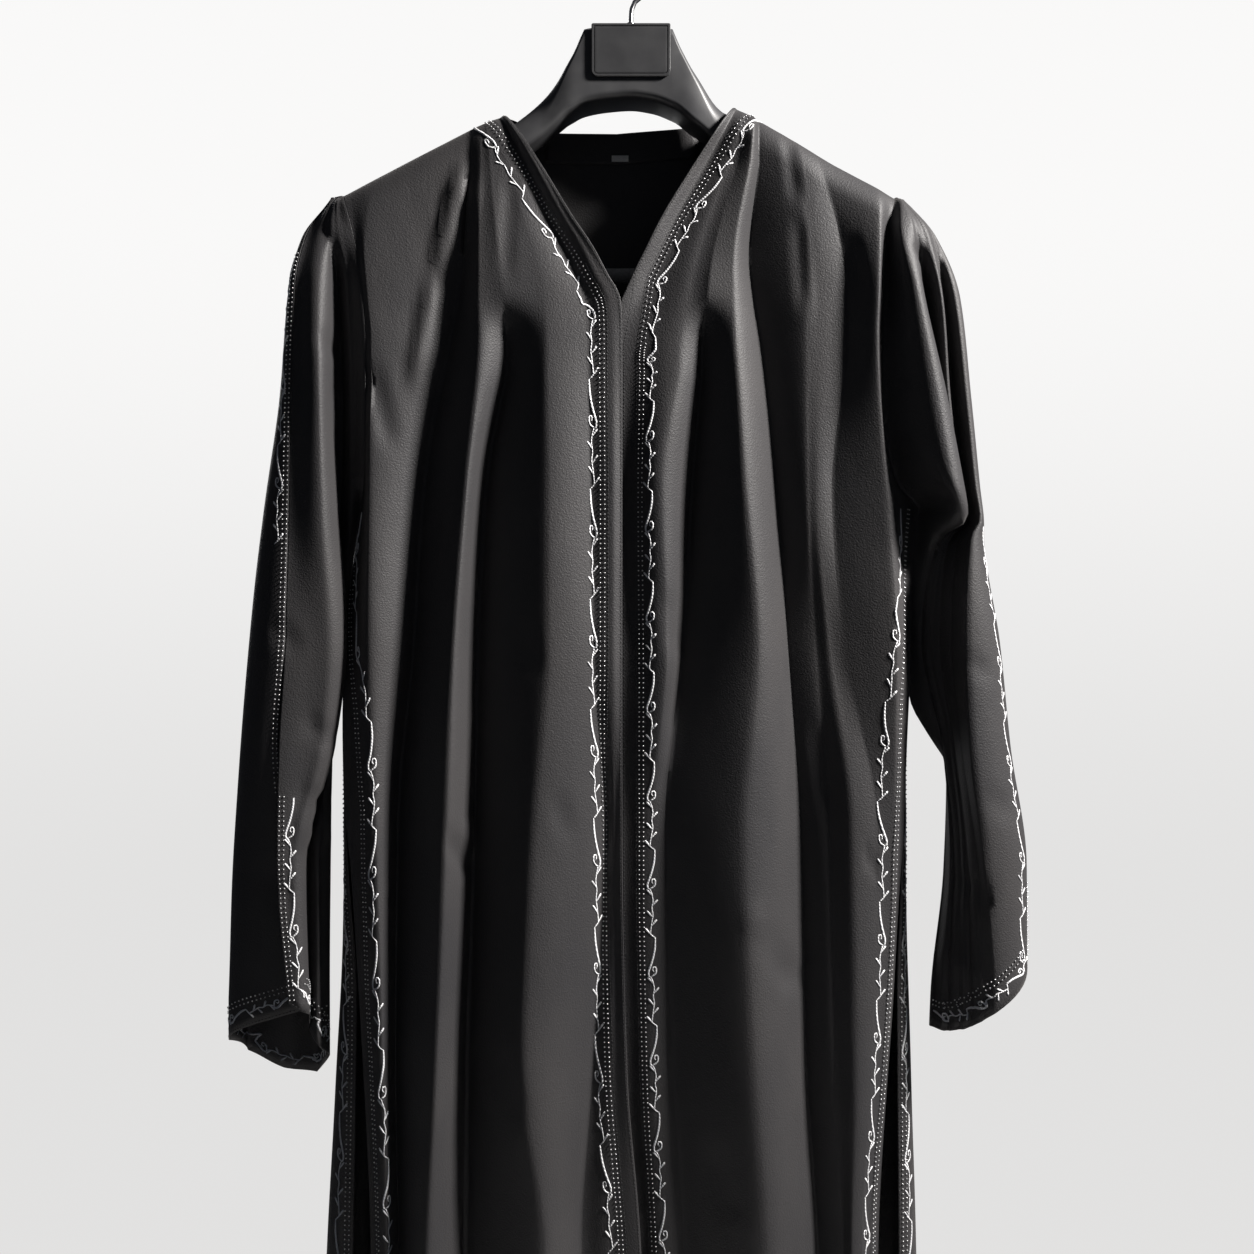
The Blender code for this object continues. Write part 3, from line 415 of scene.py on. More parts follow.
# %% [markdown]
# ## The back panel
#
# The back is one piece. Its edges come round to the front below the side seams, where the
# photograph shows them on both sides of the fronts. Its folds are out of sight there, so they are
# drawn as plain deep waves that widen towards the hem, like the fronts' own.

# %% Back panel
# Back panel: its side edges wrap round to the front below the side seams
BACK_EDGE_LEFT = (
    Spot(-470, -222, 0.85), Spot(-520, -228, -3.3), Spot(-580, -233, -12.3),
    Spot(-640, -233, -22.3), Spot(-700, -232, -23.3), Spot(-770, -229, -18),
    Spot(-867, -224, -9), Spot(-1067, -227, -8), Spot(HEM_HEIGHT, -234, -6),
)
BACK_EDGE_RIGHT = (
    Spot(-470, 236, 0.85), Spot(-520, 232, -0.3), Spot(-570, 229, -7.3), Spot(-627, 226, -15.3),
    Spot(-740, 221, -15.3), Spot(-790, 220, -11), Spot(-867, 218, -7), Spot(-1067, 219, -8),
    Spot(HEM_HEIGHT, 225, -6),
)
BACK_LEVELS = (-187, -335, -425, -470, -700, -867, -1067, HEM_HEIGHT)
BACK_LINES = (
    Line("left edge", OVER, None, None),
    Line("left turn", UP, (-218, -203, -206, -214, -234, -240, -252, -282),
         (24, 30, 27, 16, 12, 10, 14, 18)),
    Line("fold 1", RISE, (-200, -192, -197, -200, -206, -214, -226, -250),
         (26, 32, 35, 36, 40, 42, 44, 50)),
    Line("hollow 1", RISE, (-160, -160, -164, -166, -170, -176, -184, -200),
         (26, 24, 20, 18, 15, 14, 14, 14)),
    Line("fold 2", RISE, (-124, -122, -125, -126, -132, -136, -142, -154),
         (27, 30, 36, 38, 44, 46, 48, 54)),
    Line("hollow 2", RISE, (-92, -86, -87, -88, -90, -92, -96, -104),
         (27, 26, 20, 18, 14, 14, 14, 14)),
    Line("fold 3", RISE, (-60, -54, -53, -52, -50, -50, -52, -54),
         (27, 29, 34, 36, 40, 42, 44, 48)),
    Line("centre back", RISE, (-12, -12, -12, -12, -12, -12, -10, -6),
         (26, 24, 20, 18, 16, 15, 15, 15)),
    Line("fold 4", RISE, (34, 34, 35, 36, 38, 38, 38, 42),
         (27, 29, 34, 36, 42, 44, 46, 50)),
    Line("hollow 3", RISE, (79, 76, 75, 74, 76, 78, 82, 90),
         (27, 26, 20, 18, 14, 14, 14, 14)),
    Line("fold 5", RISE, (93, 108, 111, 112, 116, 120, 126, 140),
         (27, 31, 36, 38, 44, 46, 48, 54)),
    Line("hollow 4", RISE, (136, 146, 152, 154, 156, 158, 164, 182),
         (26, 24, 19, 17, 14, 14, 14, 14)),
    Line("fold 6", OVER, (180, 180, 187, 200, 198, 200, 206, 224),
         (25, 30, 33, 34, 36, 38, 38, 44)),
    Line("right turn", UP, (198, 191, 197, 220, 225, 230, 236, 254),
         (24, 29, 28, 16, 10, 10, 12, 16)),
    Line("right edge", RISE, None, None),
)


def back_points():
    """Grid of the back panel's middle surface."""
    places = places_along(BACK_LINES, BACK_STEPS, {"first", "last"})
    ridge = SHOULDER_LEFT[::-1] + BACK_NECK_EDGE + SHOULDER_RIGHT

    def edge(armhole, below, height):
        x, y = edge_at(armhole, height)
        low_x, low_y = edge_at(below, height)
        on_armhole = height > ARMHOLE_BOTTOM
        return np.where(on_armhole, x, low_x), np.where(on_armhole, -y, low_y)

    def section(height):
        first = edge(SIDE_LEFT, BACK_EDGE_LEFT, height)
        last = edge(SIDE_RIGHT, BACK_EDGE_RIGHT, height)
        return section_points(BACK_LINES, BACK_LEVELS, places, height, first, last)

    top = np.full(len(places), float(SHOULDER_LEFT[0][1]))
    for _ in range(RIDGE_STEPS):
        top = shoulder_height(ridge, section(top)[0])

    rows = []
    for height in panel_heights(top):
        x, y, _ = section(height)
        behind_neck = (ease((x - SHOULDER_LEFT[0][0]) / NECK_TURN_LEFT)
                       * ease((SHOULDER_RIGHT[0][0] - x) / NECK_TURN_RIGHT))
        roll = shoulder_roll(ridge, x, height)
        y = y * (roll + (1 - roll) * behind_neck)
        rows.append(np.stack([x, y, height], axis=1))
    return np.array(rows)


back_grid = back_points()
print("back grid:", back_grid.shape[:2])

# %% [markdown]
# ## The sleeves
#
# Each sleeve is cut in two halves that are joined only under the arm. Along the top of the arm the
# halves lie side by side and their trimmed edges show. A flat hanging sleeve is a squashed tube, so
# its front half has one or two tucks that fold right back on themselves: that is what the lines
# named fold and fold edge are for.

# %% Left sleeve
# Each half from the viewer's left to right
SLEEVE_LEFT_LEVELS = (-216, -224, -250, -290, -385, -477, -580, -665, -760, -872)
SLEEVE_LEFT_UNDERARM = (
    Spot(-470, -222.6, 0), Spot(-520, -230.5, 4), Spot(-580, -235.5, 6), Spot(-610, -237, 6),
    Spot(-640, -242, 6), Spot(-665, -247, 6), Spot(-760, -248, 2), Spot(-872, -248.5, 0),
    Spot(-960, -248.5, 0),
)
SLEEVE_LEFT_FRONT = (
    Line("top of arm", RISE,
         (-244, -250, -264, -270, -272, -273, -275, -280.5, -282.5, -273.5),
         (-1, -4, -14, -26, -34, -38, -42, -40, -38, -36)),
    Line("front fold", OVER,
         (-242.6, -246, -250, -251, -248.5, -246.5, -243, -250, -272, -266),
         (-2, -10, -20, -34, -44, -45, -41, -36, -36, -37)),
    Line("front fold edge", FLAT,
         (-241.2, -243, -245, -243, -242, -237.5, -230, -239.5, -263, -259.5),
         (-3, -12, -22, -22, -20, -20, -22, -20, -24, -27)),
    Line("hollow", RISE,
         (-239.8, -241, -241, -241, -238, -240, -246, -251, -265, -263),
         (-4, -13.5, -22.5, -8, 0, 1, 0, -4, -10, -11)),
    Line("inner fold", RISE,
         (-238.2, -238.5, -235, -229, -226, -230, -241, -248, -254, -254),
         (-4.8, -15, -23, -20, -16, -6, 4, 0, -18, -18)),
    Line("seam", RISE, None, None),
)
SLEEVE_LEFT_BACK = (
    Line("top of arm", OVER,
         (-244.6, -250.6, -264.6, -270.4, -272.3, -273.3, -275.3, -281.3, -273.5, -264.5),
         (-1, -4, -14, -26, -34, -38, -42, -37, -32, -30)),
    Line("outer turn", UP,
         (-247, -252, -269, -278, -286, -300, -311.5, -318, -325, -330),
         (0.4, 0, -3, -6, -9, -9, -8, -8, -6, -5)),
    Line("back fold", RISE,
         (-243.5, -248, -262, -268, -277, -290, -303, -310, -318, -325),
         (2.5, 7, 18, 24, 27, 27, 30, 32, 34, 36)),
    Line("back hollow", RISE,
         (-241, -245, -251, -254, -256, -264, -273, -280, -286, -292),
         (3.2, 9, 19, 24, 24, 22, 22, 23, 24, 26)),
    Line("inner back fold", RISE,
         (-238.6, -240, -240, -236, -234, -240, -254, -262, -262, -266),
         (4, 11, 22, 32, 36, 31, 34, 34, 34, 34)),
    Line("seam", RISE, None, None),
)
CUFF_LEFT_FRONT = (-870, -875, -881, -897, -908, -922)
CUFF_LEFT_BACK = (-877, -908, -928, -940, -946, -922)

print("left cuff runs from", max(CUFF_LEFT_FRONT), "down to", min(CUFF_LEFT_BACK), "mm")

# %% [markdown]
# The right sleeve hangs in its own way: its upper part stands out as a soft bulge, and lower down
# it is pressed into narrow folds. The left sleeve could have been mirrored, but the two are clearly
# different in the photograph, so this one has its own lines.

# %% Right sleeve
# Each half from the viewer's left to right
SLEEVE_RIGHT_LEVELS = (-217, -224, -250, -300, -385, -455, -482, -498, -580, -665, -760, -850)
SLEEVE_RIGHT_UNDERARM = (
    Spot(-470, 236.6, 0), Spot(-498, 234, 3), Spot(-560, 229.7, 6), Spot(-600, 228, 8),
    Spot(-630, 232, 8), Spot(-660, 248, 8), Spot(-685, 262, 8), Spot(-770, 259, 6),
    Spot(-872, 247.5, 2), Spot(-960, 245, 2),
)
SLEEVE_RIGHT_FRONT = (
    Line("seam", RISE, None, None),
    Line("bulge", OVER,
         (217.6, 219, 216, 225, 240, 252, 259, 248, 239, 257, 262, 256),
         (-6, -20, -38, -49, -54, -56, -48, -8, 2, 0, -6, -10)),
    Line("bulge edge", FLAT,
         (218.6, 221, 226, 233, 252, 265.5, 270, 252, 241, 257.4, 265, 260),
         (-5, -18, -35, -35, -34, -34, -26, -7, 0, -2, -10, -14)),
    Line("first hollow", RISE,
         (219.6, 222, 229, 240, 254, 268, 272.5, 256, 245, 261, 268, 265),
         (-4, -15, -31, -12, -15, -16, -12, -7, -2, -5, -14, -18)),
    Line("second fold", OVER,
         (220.6, 224, 236, 249, 257, 270, 274.5, 258, 249, 263, 270, 270),
         (-3.4, -12, -27, -29, -22, -14, -9, -7, -4, -9, -19, -23)),
    Line("second fold edge", FLAT,
         (221.4, 225.5, 240, 252, 260, 272, 276, 261, 254, 265, 273, 275),
         (-2.8, -10, -24, -17, -12, -9, -7, -8, -6, -14, -25, -28)),
    Line("second hollow", RISE,
         (222.2, 227, 244, 256, 264, 274, 278, 266, 260, 267, 276.5, 281),
         (-2, -8, -20, -9, -7, -6, -8, -12, -14, -24, -33, -34)),
    Line("outer fold", OVER,
         (223, 228.5, 247, 262, 271, 277, 280, 272, 267, 270, 282, 292),
         (-1.4, -5, -12, -20, -24, -28, -33, -37, -42, -43, -42, -39)),
    Line("top of arm", RISE,
         (224.4, 231, 250.5, 269.5, 278, 284, 286, 286.5, 299, 308.5, 321.5, 322),
         (0, -0.3, -1, -4, -6, -8, -9, -10, -12, -12, -13, -14)),
)
SLEEVE_RIGHT_BACK = (
    Line("seam", RISE, None, None),
    Line("inner back fold", RISE,
         (218, 219, 217, 222, 226, 238, 245, 247, 250, 274, 270, 262),
         (4.2, 12, 22, 32, 36, 34, 32, 32, 34, 34, 34, 34)),
    Line("back hollow", RISE,
         (220.4, 222, 228, 240, 246, 256, 260, 261, 266, 284, 285, 282),
         (3.4, 11, 20, 24, 25, 24, 23, 22, 22, 22, 23, 24)),
    Line("back fold", OVER,
         (223, 227, 240, 258, 266, 272, 274, 275, 287, 298, 310, 311),
         (2, 8, 15, 22, 25, 26, 27, 27, 30, 32, 34, 36)),
    Line("top of arm", RISE,
         (224.4, 231, 250.5, 269.5, 278, 284, 286, 286.5, 299, 308.5, 321.5, 322),
         (0.3, 0, -0.7, -3.7, -5.7, -7.7, -8.7, -9.7, -11.7, -11.7, -12.7, -13.7)),
)
CUFF_RIGHT_FRONT = (-898, -899, -898, -896, -894, -890, -885, -876, -842)
CUFF_RIGHT_BACK = (-898, -905, -900, -886, -850)

print("right cuff runs from", max(CUFF_RIGHT_FRONT), "down to", min(CUFF_RIGHT_BACK), "mm")

# %% [markdown]
# A sleeve's head has to meet the panels exactly, or light shows through the armhole. So its inner
# edge is not a table of its own: it is read from the same armhole line as the panels, a hair
# outside it. Lower down the rows slant gradually until the last one lies along the cuff.

# %% Grids of the sleeves
FRONT, BACK = -1, 1
CLOTH_STEP = 0.85
SLANT_START = -610
SLANT_END = -843
SLEEVE_STEPS = 9
SLEEVE_LOWER_ROWS = 58
Arm = namedtuple("Arm", "levels side ridge underarm")


def seam_of_sleeve(arm, height, face):
    """The sleeve's seam line: the armhole, then the seam under the arm."""
    x, y = edge_at(arm.side, height)
    y = y * shoulder_roll(arm.ridge, x, height)
    low_x, low_y = edge_at(arm.underarm, height)
    on_armhole = height > ARMHOLE_BOTTOM
    x = np.where(on_armhole, x, low_x)
    y = np.where(on_armhole, -face * y, low_y + face * CLOTH_STEP)
    return x, y


def sleeve_points(lines, cuff, face, arm):
    """Grid of half a sleeve, rows from the shoulder tip down to the cuff."""
    places = places_along(lines, SLEEVE_STEPS, {"first", "last"})
    cuff_height = np.interp(places, range(len(lines)), cuff)
    level = np.ones(len(places))
    lower = np.linspace(UPPER_END, SLANT_END, SLEEVE_LOWER_ROWS + 1)[1:]
    rows = []
    for height in upper_heights(arm.ridge[-1][1])[1:] + list(lower):
        height = height * level
        slant = ease((SLANT_START - height) / (SLANT_START - SLANT_END))
        height = height + slant * (cuff_height - SLANT_END)
        edge = seam_of_sleeve(arm, height, face)
        x, y, _ = section_points(lines, arm.levels, places, height, edge, edge)
        rows.append(np.stack([x, y, height], axis=1))
    return np.array(rows)


arm_left = Arm(SLEEVE_LEFT_LEVELS, SIDE_LEFT, SHOULDER_LEFT, SLEEVE_LEFT_UNDERARM)
arm_right = Arm(SLEEVE_RIGHT_LEVELS, SIDE_RIGHT, SHOULDER_RIGHT, SLEEVE_RIGHT_UNDERARM)
left_front_grid = sleeve_points(SLEEVE_LEFT_FRONT, CUFF_LEFT_FRONT, FRONT, arm_left)
left_back_grid = sleeve_points(SLEEVE_LEFT_BACK, CUFF_LEFT_BACK, BACK, arm_left)
right_front_grid = sleeve_points(SLEEVE_RIGHT_FRONT, CUFF_RIGHT_FRONT, FRONT, arm_right)
right_back_grid = sleeve_points(SLEEVE_RIGHT_BACK, CUFF_RIGHT_BACK, BACK, arm_right)
print("sleeve grids:", left_front_grid.shape[:2], left_back_grid.shape[:2],
      right_front_grid.shape[:2], right_back_grid.shape[:2])

# %% [markdown]
# ## Small creases and the hand of the cloth
#
# Fold lines give the big shapes. Worn and packed cloth also has short soft creases, which could be
# painted as bump but would then have no outline. Here each is a short trough or ridge between two
# points, faded at both ends and pressed into the grid along its own normals. A very slow ripple
# under them keeps the long flanks from looking like sheet metal.

# %% Soft creases
# Each crease: start, end, half its width, depth
FRONT_LEFT_CREASES = (
    ((-134, -186), (-160, -290), 9, -5.6), ((-158, -276), (-178, -380), 9, -5.6),
    ((-126, -200), (-146, -290), 14, -2.4), ((-144, -276), (-163, -370), 14, -2.4),
    ((-210, -352), (-192, -430), 12, 2.6),
    ((-96, -196), (-101, -300), 10, 1.3),
    ((-147, -731), (-128, -774), 7, 2.4), ((-139, -722), (-119, -759), 8, -1.8),
    ((-92, -560), (-76, -612), 16, 1.6), ((-108, -905), (-86, -968), 18, 1.7),
    ((-112, -1120), (-92, -1204), 18, 1.6), ((-164, -1270), (-150, -1352), 16, -1.6),
    ((-60, -700), (-47, -742), 12, 1.2), ((-150, -470), (-160, -520), 10, 1.4),
)
FRONT_RIGHT_CREASES = (
    ((97, -799), (138, -867), 15, 2.6), ((88, -786), (126, -846), 14, -1.6),
    ((185, -752), (200, -764), 6, 2.2), ((126, -165), (134, -232), 9, 1.8),
    ((134, -232), (139, -320), 8, 1.6), ((28, -536), (36, -596), 12, 1.5),
    ((34, -640), (24, -690), 12, -1.2), ((150, -640), (160, -720), 12, 1.3),
    ((62, -980), (84, -1050), 18, 1.7), ((110, -1180), (128, -1276), 18, 1.5),
    ((60, -1330), (80, -1412), 20, -1.6), ((176, -250), (186, -312), 10, 1.4),
)
BACK_CREASES = (
    ((-150, -215), (-176, -300), 12, 2.0), ((140, -210), (166, -296), 12, 2.0),
    ((-70, -300), (-92, -420), 14, 1.5), ((66, -290), (86, -404), 14, 1.6),
    ((-14, -700), (14, -782), 18, 2.0), ((-128, -840), (-100, -910), 18, 1.8),
    ((112, -900), (140, -980), 18, 1.7), ((-40, -1150), (-22, -1250), 20, 1.6),
    ((40, -1230), (66, -1330), 20, -1.6), ((-190, -1180), (-168, -1270), 20, 1.6),
)
SLEEVE_LEFT_CREASES = (
    ((-262, -640), (-240, -664), 9, 2.2), ((-270, -700), (-246, -712), 8, 2.4),
    ((-268, -728), (-248, -748), 8, -1.8), ((-300, -760), (-270, -790), 12, 2.0),
    ((-252, -330), (-236, -352), 9, 1.4), ((-290, -560), (-262, -590), 12, 1.6),
)
SLEEVE_RIGHT_CREASES = (
    ((228, -440), (262, -484), 9, 2.6), ((262, -592), (290, -610), 10, 1.4),
    ((282, -700), (306, -722), 12, 1.4), ((262, -770), (292, -790), 12, 1.6),
    ((252, -830), (284, -858), 12, -1.4), ((222, -262), (240, -276), 8, 1.6),
)
CREASE_FADE = 0.28
TOP_HELD = 0.04
TINY = 1e-9
# Each ripple: size, turns across and down per mm, start
RIPPLES = ((0.30, 1 / 37, 1 / 83, 0.4), (0.22, -1 / 29, 1 / 61, 2.1), (0.12, 1 / 13, 1 / 23, 4.0))


def unit(vectors):
    """Vectors of length 1."""
    return vectors / np.maximum(np.linalg.norm(vectors, axis=-1, keepdims=True), TINY)


def grid_normals(points, face):
    """Normals of a grid, pointing out of the robe at its front or its back."""
    normal = unit(np.cross(np.gradient(points, axis=1), np.gradient(points, axis=0)))
    return normal if normal[..., 1].sum() * face > 0 else -normal


def creased(points, creases, face):
    """The grid with its soft creases pressed in and its slow ripple."""
    x, z = points[..., 0], points[..., 2]
    push = sum(size * np.sin(x * across + z * down + turn) for size, across, down, turn in RIPPLES)
    for (x0, z0), (x1, z1), width, depth in creases:
        length = math.dist((x0, z0), (x1, z1))
        dx, dz = (x1 - x0) / length, (z1 - z0) / length
        along = ((x - x0) * dx + (z - z0) * dz) / length
        off = np.abs((x - x0) * dz - (z - z0) * dx) / width
        fade = ease(along / CREASE_FADE) * ease((1 - along) / CREASE_FADE)
        push = push - depth * fade * np.clip(1 - off ** 2, 0, 1) ** 2
    rows = np.arange(len(points)) / len(points)
    held = ease(rows / TOP_HELD)[:, None]
    return points + grid_normals(points, face) * (push * held)[..., None]


front_left_grid = creased(front_left_grid, FRONT_LEFT_CREASES, FRONT)
front_right_grid = creased(front_right_grid, FRONT_RIGHT_CREASES, FRONT)
back_grid = creased(back_grid, BACK_CREASES, BACK)
left_front_grid = creased(left_front_grid, SLEEVE_LEFT_CREASES, FRONT)
left_back_grid = creased(left_back_grid, SLEEVE_LEFT_CREASES, BACK)
right_front_grid = creased(right_front_grid, SLEEVE_RIGHT_CREASES, FRONT)
right_back_grid = creased(right_back_grid, SLEEVE_RIGHT_CREASES, BACK)
print("creases pressed:", len(FRONT_LEFT_CREASES) + len(FRONT_RIGHT_CREASES) + len(BACK_CREASES)
      + len(SLEEVE_LEFT_CREASES) + len(SLEEVE_RIGHT_CREASES))

# %% [markdown]
# ## Materials
#
# All the materials are built alike, so the steps are helpers. A noise pattern mixes two close
# shades, because no real surface has one flat colour, and a finer one can stand up as a bump.
# Pictures would do as well, but they show their pixels close up and need the cloth unwrapped.

# %% Material helpers
def noise_node(nodes, links, scale, detail, stretch=(1, 1, 1)):
    """A noise texture in the object's own metres."""
    place = nodes.new("ShaderNodeTexCoord")
    size = nodes.new("ShaderNodeMapping")
    size.inputs["Scale"].default_value = stretch
    noise = nodes.new("ShaderNodeTexNoise")
    noise.inputs["Scale"].default_value = scale
    noise.inputs["Detail"].default_value = detail
    links.new(place.outputs["Object"], size.inputs["Vector"])
    links.new(size.outputs["Vector"], noise.inputs["Vector"])
    return noise.outputs["Fac"]


def colour_between(nodes, links, factor, dark, light):
    """Two colours mixed by a pattern, with the pattern's middle spread out."""
    ramp = nodes.new("ShaderNodeValToRGB")
    for element, position, colour in zip(ramp.color_ramp.elements, (0.35, 0.65), (dark, light)):
        element.position = position
        element.color = (*colour, 1)
    links.new(factor, ramp.inputs["Fac"])
    return ramp.outputs["Color"]


def bump_node(nodes, links, height, distance, strength, below=None):
    """A bump of this height in metres, laid over another if one is given."""
    bump = nodes.new("ShaderNodeBump")
    bump.inputs["Distance"].default_value = distance
    bump.inputs["Strength"].default_value = strength
    links.new(height, bump.inputs["Height"])
    if below is not None:
        links.new(below, bump.inputs["Normal"])
    return bump.outputs["Normal"]


def new_material(name, colour, roughness, metallic=0.0, shades=(), clouds=(), grain=(), bump=()):
    """A Principled material with its shader, nodes and links.

    Its colour can wander between two shades in clouds, and its grain can stand up as a bump.
    """
    made = bpy.data.materials.new(name)
    made.use_nodes = True
    nodes, links = made.node_tree.nodes, made.node_tree.links
    shader = nodes["Principled BSDF"]
    shader.inputs["Base Color"].default_value = (*colour, 1)
    shader.inputs["Roughness"].default_value = roughness
    shader.inputs["Metallic"].default_value = metallic
    made.diffuse_color = (*colour, 1)
    if shades:
        mixed = colour_between(nodes, links, noise_node(nodes, links, *clouds), *shades)
        links.new(mixed, shader.inputs["Base Color"])
    if grain:
        raised = bump_node(nodes, links, noise_node(nodes, links, *grain), *bump)
        links.new(raised, shader.inputs["Normal"])
    return made, shader, nodes, links


def roughness_between(shader, nodes, links, pattern, low, high):
    """Let the gloss wander between two values."""
    spread = nodes.new("ShaderNodeMapRange")
    spread.inputs["To Min"].default_value = low
    spread.inputs["To Max"].default_value = high
    links.new(pattern, spread.inputs["Value"])
    links.new(spread.outputs["Result"], shader.inputs["Roughness"])


print("helpers ready; materials made:", len(bpy.data.materials))

# %% [markdown]
# ## Black crepe
#
# Satin-faced crepe is woven from hard-twisted thread, so its face is a fine pebble with a low
# gloss. A picture of cloth would show its pixels close up. Here two noise patterns make the pebble
# as bump, a third mixes two blacks so that the cloth isn't one flat colour, and a little sheen
# stands for the fibres that catch light at the edge of a fold.

# %% Crepe
crepe, shader, nodes, links = new_material(
    "black crepe", (0.036, 0.035, 0.037), 0.42,
    shades=((0.031, 0.030, 0.032), (0.043, 0.041, 0.042)), clouds=(14, 3.0, (1, 1, 0.4)))
roughness_between(shader, nodes, links, noise_node(nodes, links, 900, 2.0), 0.50, 0.62)
hand = bump_node(nodes, links, noise_node(nodes, links, 38, 3.0, (1, 1, 0.45)), 0.0022, 0.22)
pebble = bump_node(nodes, links, noise_node(nodes, links, 760, 3.0), 0.0006, 0.75, hand)
links.new(pebble, shader.inputs["Normal"])
shader.inputs["Specular IOR Level"].default_value = 0.36
shader.inputs["Sheen Weight"].default_value = 0.08
shader.inputs["Sheen Roughness"].default_value = 0.45
shader.inputs["Sheen Tint"].default_value = (0.75, 0.72, 0.70, 1)
print("material:", crepe.name)

# %% [markdown]
# ## Hanging the panels
#
# Every panel is one open grid with a wall modifier that gives it the thickness of crepe, so it
# stays easy to edit. The panel rides on the model's one body and stands for its plain solid.

# %% Cloth pieces
CLOTH = 0.8


def mesh_piece(name, vertices, faces, finish):
    """A smooth-shaded mesh from points in millimetres, riding on the part's one body."""
    mesh = bpy.data.meshes.new(name)
    mesh.from_pydata((np.asarray(vertices, float) * MM).tolist(), [], faces)
    mesh.shade_smooth()
    mesh.materials.append(finish)
    piece = bpy.data.objects.new(name, mesh)
    scene.collection.objects.link(piece)
    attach(piece, ROOT)
    return piece


def hang(name, grid, node, thickness=CLOTH, finish=crepe):
    """A cloth panel over its solid, with a wall modifier for its thickness."""
    rows, columns = grid.shape[:2]
    faces = [(r * columns + c, (r + 1) * columns + c, (r + 1) * columns + c + 1,
              r * columns + c + 1)
             for r in range(rows - 1) for c in range(columns - 1)]
    piece = mesh_piece(name, grid.reshape(-1, 3), faces, finish)
    wall = piece.modifiers.new("wall", "SOLIDIFY")
    wall.thickness = thickness * MM
    wall.offset = 0.0
    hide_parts(node)
    return piece


def area_of(grid):
    """A grid's area in square metres."""
    down = grid[1:, :-1] - grid[:-1, :-1]
    along = grid[:-1, 1:] - grid[:-1, :-1]
    return float(np.linalg.norm(np.cross(down, along), axis=2).sum()) * MM * MM


print("cloth", CLOTH, "mm thick")

# %% [markdown]
# The cut of each panel is a maker's flat pattern: a long quadrilateral, wider at the hem, with its
# folds pulled out flat. The flat sizes and areas below were measured on the folded surface when it
# was first drawn, and rounded up. The cell prints what the folds measure now. The front half of the
# right sleeve has since become about 16 mm wider than the size that it is said to be cut to.

# %% The panels
for name, grid, node, flat, area, rests_on in (
        ("left_front_panel", front_left_grid, "front_left", (0.36, 1.49), 0.413, "hanger_body"),
        ("right_front_panel", front_right_grid, "front_right", (0.35, 1.49), 0.382, "hanger_body"),
        ("back_panel", back_grid, "back", (0.81, 1.46), 0.905, "hanger_body"),
        ("left_sleeve_front_half", left_front_grid, "sleeve_left_front", (0.11, 0.73), 0.059,
         "left_front_panel"),
        ("left_sleeve_back_half", left_back_grid, "sleeve_left_back", (0.24, 0.74), 0.116,
         "back_panel"),
        ("right_sleeve_front_half", right_front_grid, "sleeve_right_front", (0.145, 0.73), 0.077,
         "right_front_panel"),
        ("right_sleeve_back_half", right_back_grid, "sleeve_right_back", (0.16, 0.72), 0.073,
         "back_panel")):
    hang(name, grid, node)
    widths = np.linalg.norm(np.diff(grid, axis=1), axis=2).sum(axis=1)
    lengths = np.linalg.norm(np.diff(grid, axis=0), axis=2).sum(axis=0)
    print(name, "area", round(area_of(grid), 3), "m2, widest", round(widths.max()), "mm, longest",
          round(lengths.max()), "mm")

# %% [markdown]
# ## Closing strip, neck facing and label
#
# Behind the left front's edge runs a second layer of cloth, which hides the fastening, and inside
# the back of the neck there is a shaped facing with a small blank label under it. Each could be
# modelled from new. Taking a stretch of the panel's own grid and moving it inwards keeps the layers
# exactly parallel, as two layers of sewn cloth are.

# %% Layers behind the panels
PLACKET_WIDTH = 18
PLACKET_STEP = 1.6
PLACKET_TOP = -318
PLACKET_END = -631
PLACKET_COLUMNS = 9
PLACKET_STRETCHES = 3
FACING_DEPTH = 26
FACING_STEP = 1.6
FACING_INSET = 28
FACING_ROWS = 9
FACING_START = 0.02


def layer_behind(points, distance, face):
    """A layer of cloth parallel to this one, on its inner side."""
    return points - grid_normals(points, face) * distance


heights = front_left_grid[:, -1, 2]
rows = (heights <= PLACKET_TOP) & (heights >= PLACKET_END)
near_edge = front_left_grid[rows][:, -PLACKET_STRETCHES * FRONT_STEPS:]
strip = []
for share in np.linspace(0, 1, PLACKET_COLUMNS):
    x = near_edge[:, -1, 0] - PLACKET_WIDTH * (1 - share)
    y = [np.interp(x[i], near_edge[i, :, 0], near_edge[i, :, 1]) for i in range(len(x))]
    strip.append(np.stack([x, np.array(y), near_edge[:, -1, 2]], axis=1))
strip_grid = layer_behind(np.array(strip).transpose(1, 0, 2), PLACKET_STEP, FRONT)
hang("closing_strip", strip_grid, "placket")

top = back_grid[0]
inside = ((top[:, 0] > SHOULDER_LEFT[0][0] + FACING_INSET)
          & (top[:, 0] < SHOULDER_RIGHT[0][0] - FACING_INSET))
columns = back_grid[:, inside]
facing = []
for share in np.linspace(FACING_START, 1, FACING_ROWS):
    facing.append([[np.interp(-(columns[0, c, 2] - share * FACING_DEPTH), -columns[:, c, 2],
                              columns[:, c, axis]) for axis in range(3)]
                   for c in range(columns.shape[1])])
facing_grid = layer_behind(np.array(facing), FACING_STEP, BACK)
hang("neck_facing_layer", facing_grid, "neck_facing")
print("closing strip", round(area_of(strip_grid) * 1e4), "cm2, facing",
      round(area_of(facing_grid) * 1e4), "cm2")

